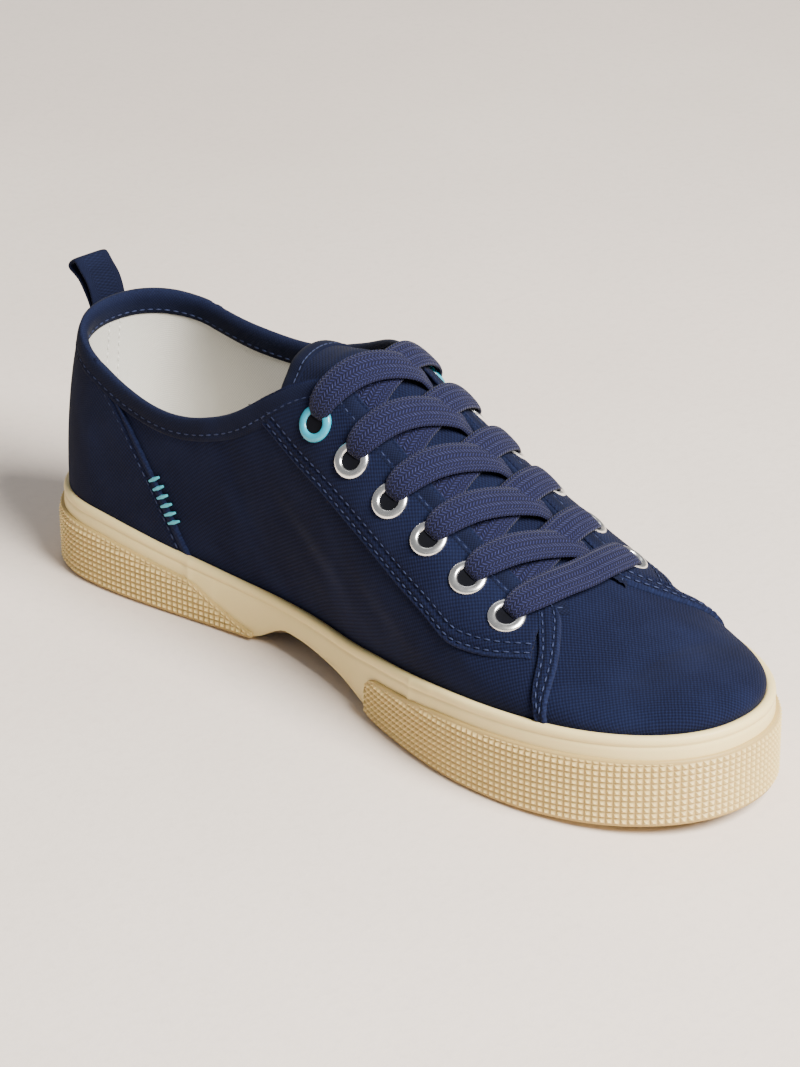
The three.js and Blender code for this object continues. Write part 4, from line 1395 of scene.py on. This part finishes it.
SPREAD_WIDTHS = [
    (0.0, 8.6), (0.05, 9.6), (0.12, 10.2), (0.36, LACE_WIDTH), (LACE_END, LACE_WIDTH - 0.4),
]
BAR_WIDTHS = [
    (0.0, 6.2), (0.04, 8.0), (0.10, 9.6), (0.20, LACE_WIDTH), (0.85, LACE_WIDTH), (0.95, 9.6), (1.0, 8.6),
]


def row_of(s, count):
    """The row of a table of so many rows at a share s of it."""
    return np.clip(np.rint(s * (count - 1)).astype(int), 0, count - 1)


def lace_path(start, end, lifts, bow, count, reach):
    share = np.linspace(0, reach, count)
    x = start[0] + (end[0] - start[0]) * share + bow * np.sin(np.pi * np.clip(share, 0, 1))
    y = start[1] + (end[1] - start[1]) * share
    point, out = surface_frame(x, y)
    return share, point + out * flow(lifts, share)[:, None], out


def lace_strip(start, end, lifts, widths, bow=0.0, reach=LACE_END):
    """One strip, as an oval tube from an eyelet to its far end."""
    count, around = 46, 20
    share, centre, out = lace_path(start, end, lifts, bow, count, reach)
    ahead = np.gradient(centre, axis=0)
    ahead /= np.linalg.norm(ahead, axis=1, keepdims=True)
    side = np.cross(ahead, out)
    side /= np.linalg.norm(side, axis=1, keepdims=True)
    up = np.cross(side, ahead)
    width = np.interp(share, *zip(*widths))
    thick = LACE_THICK * (1 + 0.5 * np.clip((LACE_WIDTH - width) / LACE_WIDTH, 0, 1))
    thick *= 1 - 0.45 * smooth_step((share - 1.0) / 0.12) * (reach > 1)
    length = measured(centre)

    def where(s, t):
        k = row_of(s, count)
        angle = t * 2 * np.pi
        c, n = np.cos(angle), np.sin(angle)
        flat = np.sign(c) * np.abs(c) ** 0.75 * width[k] / 2
        high = np.sign(n) * np.abs(n) ** 0.7 * thick[k] / 2
        sag = -0.25 * (flat / 5.0) ** 2
        return centre[k] + side[k] * flat[:, None] + up[k] * (high + sag)[:, None]

    def threads(s, t):
        across = BRAID_MIDDLE + np.cos(t * 2 * np.pi) * LACE_WIDTH / 2
        return np.stack([length[row_of(s, count)], across], -1)

    return lay_grid(np.linspace(0, 1, count), np.linspace(0, 1, around + 1), where, threads)


def merge_strips(strips):
    """Joins several lace strips in one mesh."""
    whole = bmesh.new()
    for strip in strips:
        bmesh.ops.remove_doubles(strip, verts=strip.verts, dist=0.00002)
        ends = [edge for edge in strip.edges if edge.is_boundary]
        bmesh.ops.holes_fill(strip, edges=ends, sides=0)
        bmesh.ops.recalc_face_normals(strip, faces=strip.faces)
        carry = bpy.data.meshes.new("strip")
        strip.to_mesh(carry)
        strip.free()
        whole.from_mesh(carry)
        bpy.data.meshes.remove(carry)
    return whole


def exit_place(row, outer):
    """Where the lace leaves its eyelet, a little towards the throat."""
    x, y = eyelet_place(row, outer)
    return x, y - math.copysign(OUTER_EXIT_SHIFT if outer else EXIT_SHIFT, y)


def far_end(start):
    x = start[0] + LACE_ADVANCE
    return x, -math.copysign(float(throat_half(x)) - 1.4, start[1])


for row in range(EYELETS - 1):
    inner, outer = exit_place(row, False), exit_place(row, True)
    crossing = merge_strips([
        lace_strip(outer, far_end(outer), UNDER, SPREAD_WIDTHS),
        lace_strip(inner, far_end(inner), OVER, WIDTHS),
    ])
    names = f"lace_row_{row + 1}", f"lace_cross_{row + 1}"
    finish_piece(crossing, names[0], BRAID, [names[1]], closed=True, merge=1e-7)
ends = exit_place(EYELETS - 1, False), exit_place(EYELETS - 1, True)
bar = merge_strips([lace_strip(*ends, STRAIGHT, BAR_WIDTHS, bow=3.2, reach=1.0)])
finish_piece(bar, "lace_straight_bar", BRAID, ["lace_bar"], closed=True, merge=1e-7)

# %% [markdown]
# ## Rubber band
# The foxing is a strip of rubber wrapped round the joint of cloth and sole. Its section has a
# rounded lip and a fine line under it, and is carried right round. Two splices show as low bumps on
# the inner side, where the ends of the strip overlap.

# %% Foxing band
BAND_SECTION = [  # depth into the band, share of its height, and then mm above that
    (2.7, 0.0, 0.0), (0.6, 0.0, 0.0), (0.0, 0.04, 0.0), (0.0, 0.25, 0.0), (0.0, 1.0, -5.2),
    (0.05, 1.0, -4.0), (0.15, 1.0, -2.9), (0.42, 1.0, -2.55), (0.12, 1.0, -2.2), (0.0, 1.0, -1.5),
    (0.12, 1.0, -0.7), (0.5, 1.0, -0.15), (1.1, 1.0, 0.1), (2.0, 1.0, 0.1), (2.9, 1.0, -0.3),
    (3.0, 1.0, -2.0),
]
SPLICES = ((176.0, 1.0), (71.0, 0.7))  # x on the inner side, strength


def band_where(s, t):
    inset, share, above = section_at(BAND_SECTION, t)
    low = sole_height(s, 3) + 0.35
    high = sole_height(s, 1) - 0.1
    step = 0.0
    for x, strength in SPLICES:
        gap = (s - float(station_of(x, False))) * 3.0
        bump = 0.38 * np.exp(-((gap / 0.45) ** 2)) + 0.22 * smooth_step((gap + 4) / 0.8) * (gap < 0)
        step = step + bump * strength
    ground = inset_outline(s, BAND_INSET + inset - np.where(inset < 1.2, step, 0.0))
    height = low + (high - low) * share + above
    return np.concatenate([ground, height[:, None]], 1)


def band_threads(s, t):
    return np.stack([s * 6.5, t * 2.0], -1)


band_stations = np.concatenate([np.arange(0, 92, 0.3), [92]])
near_splices = [float(station_of(x, False)) + np.linspace(-1.6, 0.6, 26) for x, strength in SPLICES]
band_stations = np.unique(np.concatenate([band_stations, *near_splices]).round(4))
finish_piece(
    lay_grid(band_stations, np.arange(len(BAND_SECTION)), band_where, band_threads),
    "rubber_band", BAND_RUBBER, ["foxing_band"],
)

# %% [markdown]
# ## Bumpers
# The toe and the heel carry thicker rubber, moulded with rows of small pyramids. Each bumper is a
# grid of square cells on the outline. Each cell gets an inset, and its middle is poked up to a
# point, lower where the border cuts the cell. The narrow cells at the border stay flat and make its
# plain rim.

# %% Bumper maker
CELL_ALONG, CELL_UP = 2.05, 1.8
PYRAMID = 0.85
BUMPER_FACE_INSET = 0.8


def make_bumper(name, start, end, height_share, rim_width, replaced):
    fine = np.linspace(start, end, 1500)
    length = measured(outline(fine))
    total = length[-1]
    columns = int(round(total / CELL_ALONG))
    rows = int((np.max(sole_height(fine, 1) - sole_height(fine, 3)) - 7.0) / CELL_UP) + 1
    along = np.arange(-1, columns + 2)
    across = np.arange(-2, rows + 4)

    def where(s, t):
        distance = np.clip(s, 0, columns) / columns * total
        station = np.interp(distance, length, fine)
        share = height_share(np.minimum(distance, total - distance))
        low = sole_height(station, 3) + 0.5
        high = low + (sole_height(station, 1) - 6.5 - low) * share
        top = np.maximum(high - rim_width, low + 0.2)
        z = np.minimum(low + 0.5 + np.maximum(t, 0) * CELL_UP, top)
        z = np.where(t < 0, low, z)
        z = np.where(t == rows + 1, top, z)
        z = np.where(t >= rows + 2, high, z)
        inset = np.where((t < -1) | (t > rows + 2) | (s < 0) | (s > columns), 2.0, BUMPER_FACE_INSET)
        inset = np.where((t == rows + 2) & (s >= 0) & (s <= columns), BUMPER_FACE_INSET + 0.2, inset)
        return np.concatenate([inset_outline(station, inset), z[:, None]], 1)

    def threads(s, t):
        return np.stack([s * CELL_ALONG, t * CELL_UP], -1)

    # Grid points are marked 0.2, so the rubber paints shade on them; the tips are marked higher.
    bm = lay_grid(along, across, where, threads, lambda s, t: np.full(len(s), 0.2))
    bmesh.ops.remove_doubles(bm, verts=bm.verts, dist=0.00012)
    bmesh.ops.dissolve_degenerate(bm, edges=bm.edges, dist=0.00005)
    face_outward(bm)
    bm.normal_update()
    cell = CELL_ALONG * CELL_UP * 1e-6
    upright = [f for f in bm.faces if abs(f.normal.z) < 0.5]
    square = [f for f in upright if len(f.verts) == 4]
    whole = [f for f in square if 0.8 * cell < f.calc_area() < 1.2 * cell]
    cut = [f for f in upright if 0.3 * cell < f.calc_area() <= 0.8 * cell]
    mark = bm.verts.layers.float["rim"]
    for cells, tall, shade in ((whole, 1.0, 1.0), (cut, 0.55, 0.75)):
        bmesh.ops.inset_individual(bm, faces=cells, thickness=0.00016, depth=0.0)
        poked = bmesh.ops.poke(bm, faces=cells, offset=PYRAMID * tall / 1000)
        for vert in poked["verts"]:
            vert[mark] = shade
        for face in poked["faces"]:
            face.smooth = False
    print(name, "pyramids:", len(whole), "whole and", len(cut), "cut")
    finish_piece(bm, name, BUMPER_RUBBER, [replaced], merge=0.00001)


def toe_share(distance):
    back = 1 - np.clip(distance / 6.0, 0, 1)
    return 0.74 + 0.26 * np.sqrt(1 - back * back)


def heel_share(distance):
    return 0.12 + 0.88 * np.clip(distance / 24.0, 0, 1)


toe_ends = float(station_of(133, True)), float(station_of(153, False))
heel_ends = float(station_of(96, False)) - ROUND, float(station_of(86, True))
make_bumper("toe_bumper_skin", *toe_ends, toe_share, 0.5, "toe_bumper")
make_bumper("heel_bumper_skin", *heel_ends, heel_share, 1.0, "heel_bumper")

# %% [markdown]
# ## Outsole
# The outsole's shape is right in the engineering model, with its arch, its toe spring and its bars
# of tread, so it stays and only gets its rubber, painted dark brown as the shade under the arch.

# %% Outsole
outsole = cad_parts["outsole"]
outsole.data.materials.clear()
outsole.data.materials.append(SHADED_SOLE_RUBBER)
print("outsole keeps", len(outsole.data.polygons), "faces")

# %% [markdown]
# ## Insole
# A thin cushioned sheet covers the bottom inside. It is cupped a little at the heel and its edge
# curls up where it meets the lining.

# %% Insole
INSOLE_INSET = 6.9


def insole_where(s, t):
    ring = inset_outline(s, np.full_like(s, INSOLE_INSET))
    mirrored = inset_outline(ROUND - s, np.full_like(s, INSOLE_INSET))
    flat = mirrored + (ring - mirrored) * t[:, None]
    seat = flow(SOLE, along_of(s), 5) + 0.3 + 3.5
    heel = 1 - smooth_step((flat[:, 0] - 30) / 60)
    curl = (np.abs(t - 0.5) * 2) ** 6 * (0.5 + 1.0 * heel)
    return np.concatenate([flat, (seat + curl)[:, None]], 1)


def insole_threads(s, t):
    return insole_where(s, t)[:, :2]


finish_piece(
    lay_grid(np.linspace(0.12, 45.88, 110), np.linspace(0, 1, 40), insole_where, insole_threads),
    "insole_cover", LINING, ["insole"], thickness=3.2, middle=Vector((0, 0, -10)),
)

# %% [markdown]
# ## Pull loop
# The loop at the heel is a folded length of webbing, sewn down behind the collar. It rises, turns
# over and comes down again, and leans back a little. Two short rows of stitches hold its foot.

# %% Pull loop
LOOP_WIDTH, LOOP_THICK = 13.0, 1.3
LOOP_FOOT, LOOP_COLLAR, LOOP_TOP, LOOP_LEAN, LOOP_HOLLOW = 63.0, 79.0, 90.0, 9.0, 2.6


def off(z, layer):
    """How far back a layer of the webbing lies against the heel at a height."""
    rib = last(np.zeros(60), np.linspace(0, np.pi / 2, 60))
    return np.interp(z, rib[:, 2], rib[:, 0]) - HEEL_LIFT - LOOP_THICK * (layer + 0.45)


def loop_line():
    rise, bend = LOOP_TOP - LOOP_COLLAR, LOOP_HOLLOW / 2 + LOOP_THICK
    outer_x = off(LOOP_COLLAR, 1)
    halfway = (LOOP_FOOT + LOOP_COLLAR) / 2
    points = [
        (off(LOOP_FOOT, 1), LOOP_FOOT), (off(halfway, 1), halfway), (outer_x - 0.6, LOOP_COLLAR - 3),
        (outer_x - 0.45 * LOOP_LEAN - LOOP_HOLLOW / 2, LOOP_COLLAR + 0.45 * rise),
        (outer_x - LOOP_LEAN - bend / 2, LOOP_TOP - bend), (outer_x - LOOP_LEAN + bend / 2, LOOP_TOP),
        (outer_x - LOOP_LEAN + 1.6 * bend, LOOP_TOP - bend),
        (off(LOOP_COLLAR, 0) - 0.3 * LOOP_LEAN, LOOP_COLLAR + 0.4 * rise),
        (off(LOOP_COLLAR, 0) - 0.8, LOOP_COLLAR - 2), (off(halfway, 0), halfway),
        (off(LOOP_FOOT, 0), LOOP_FOOT),
    ]
    return spline(points, 90)


def make_loop():
    line = loop_line()
    ahead = np.gradient(line, axis=0)
    ahead /= np.linalg.norm(ahead, axis=1, keepdims=True)
    out = np.stack([-ahead[:, 1], ahead[:, 0]], 1)
    length = measured(line)
    count = len(line)

    def where(s, t):
        k = row_of(s, count)
        c, n = np.cos(t * 2 * np.pi), np.sin(t * 2 * np.pi)
        y = np.sign(c) * np.abs(c) ** 0.35 * LOOP_WIDTH / 2
        thick = np.sign(n) * np.abs(n) ** 0.6 * LOOP_THICK / 2
        flat = line[k] + out[k] * thick[:, None]
        return np.stack([flat[:, 0], y, flat[:, 1]], 1)

    def threads(s, t):
        return np.stack([length[row_of(s, count)], np.cos(t * 2 * np.pi) * LOOP_WIDTH / 2 + 20], -1)

    bm = merge_strips([lay_grid(np.linspace(0, 1, count), np.linspace(0, 1, 29), where, threads)])
    finish_piece(bm, "pull_loop_webbing", BINDING, ["pull_loop"], closed=True, merge=1e-7)


make_loop()
for z in (66.0, 75.5):
    y = np.linspace(-5.0, 5.0, 5)
    row = np.stack([np.full(5, off(z, 1) - LOOP_THICK / 2), y, np.full(5, z)], 1)
    sew(navy_rows, row, np.tile([-1.0, 0.0, 0.0], (5, 1)))

# %% [markdown]
# ## The last steps
# The navy stitches become one piece.

# %% Stitches and finish
for face in navy_rows.faces:
    face.smooth = True
finish_piece(navy_rows, "navy_stitches", THREAD, closed=True, merge=1e-7)
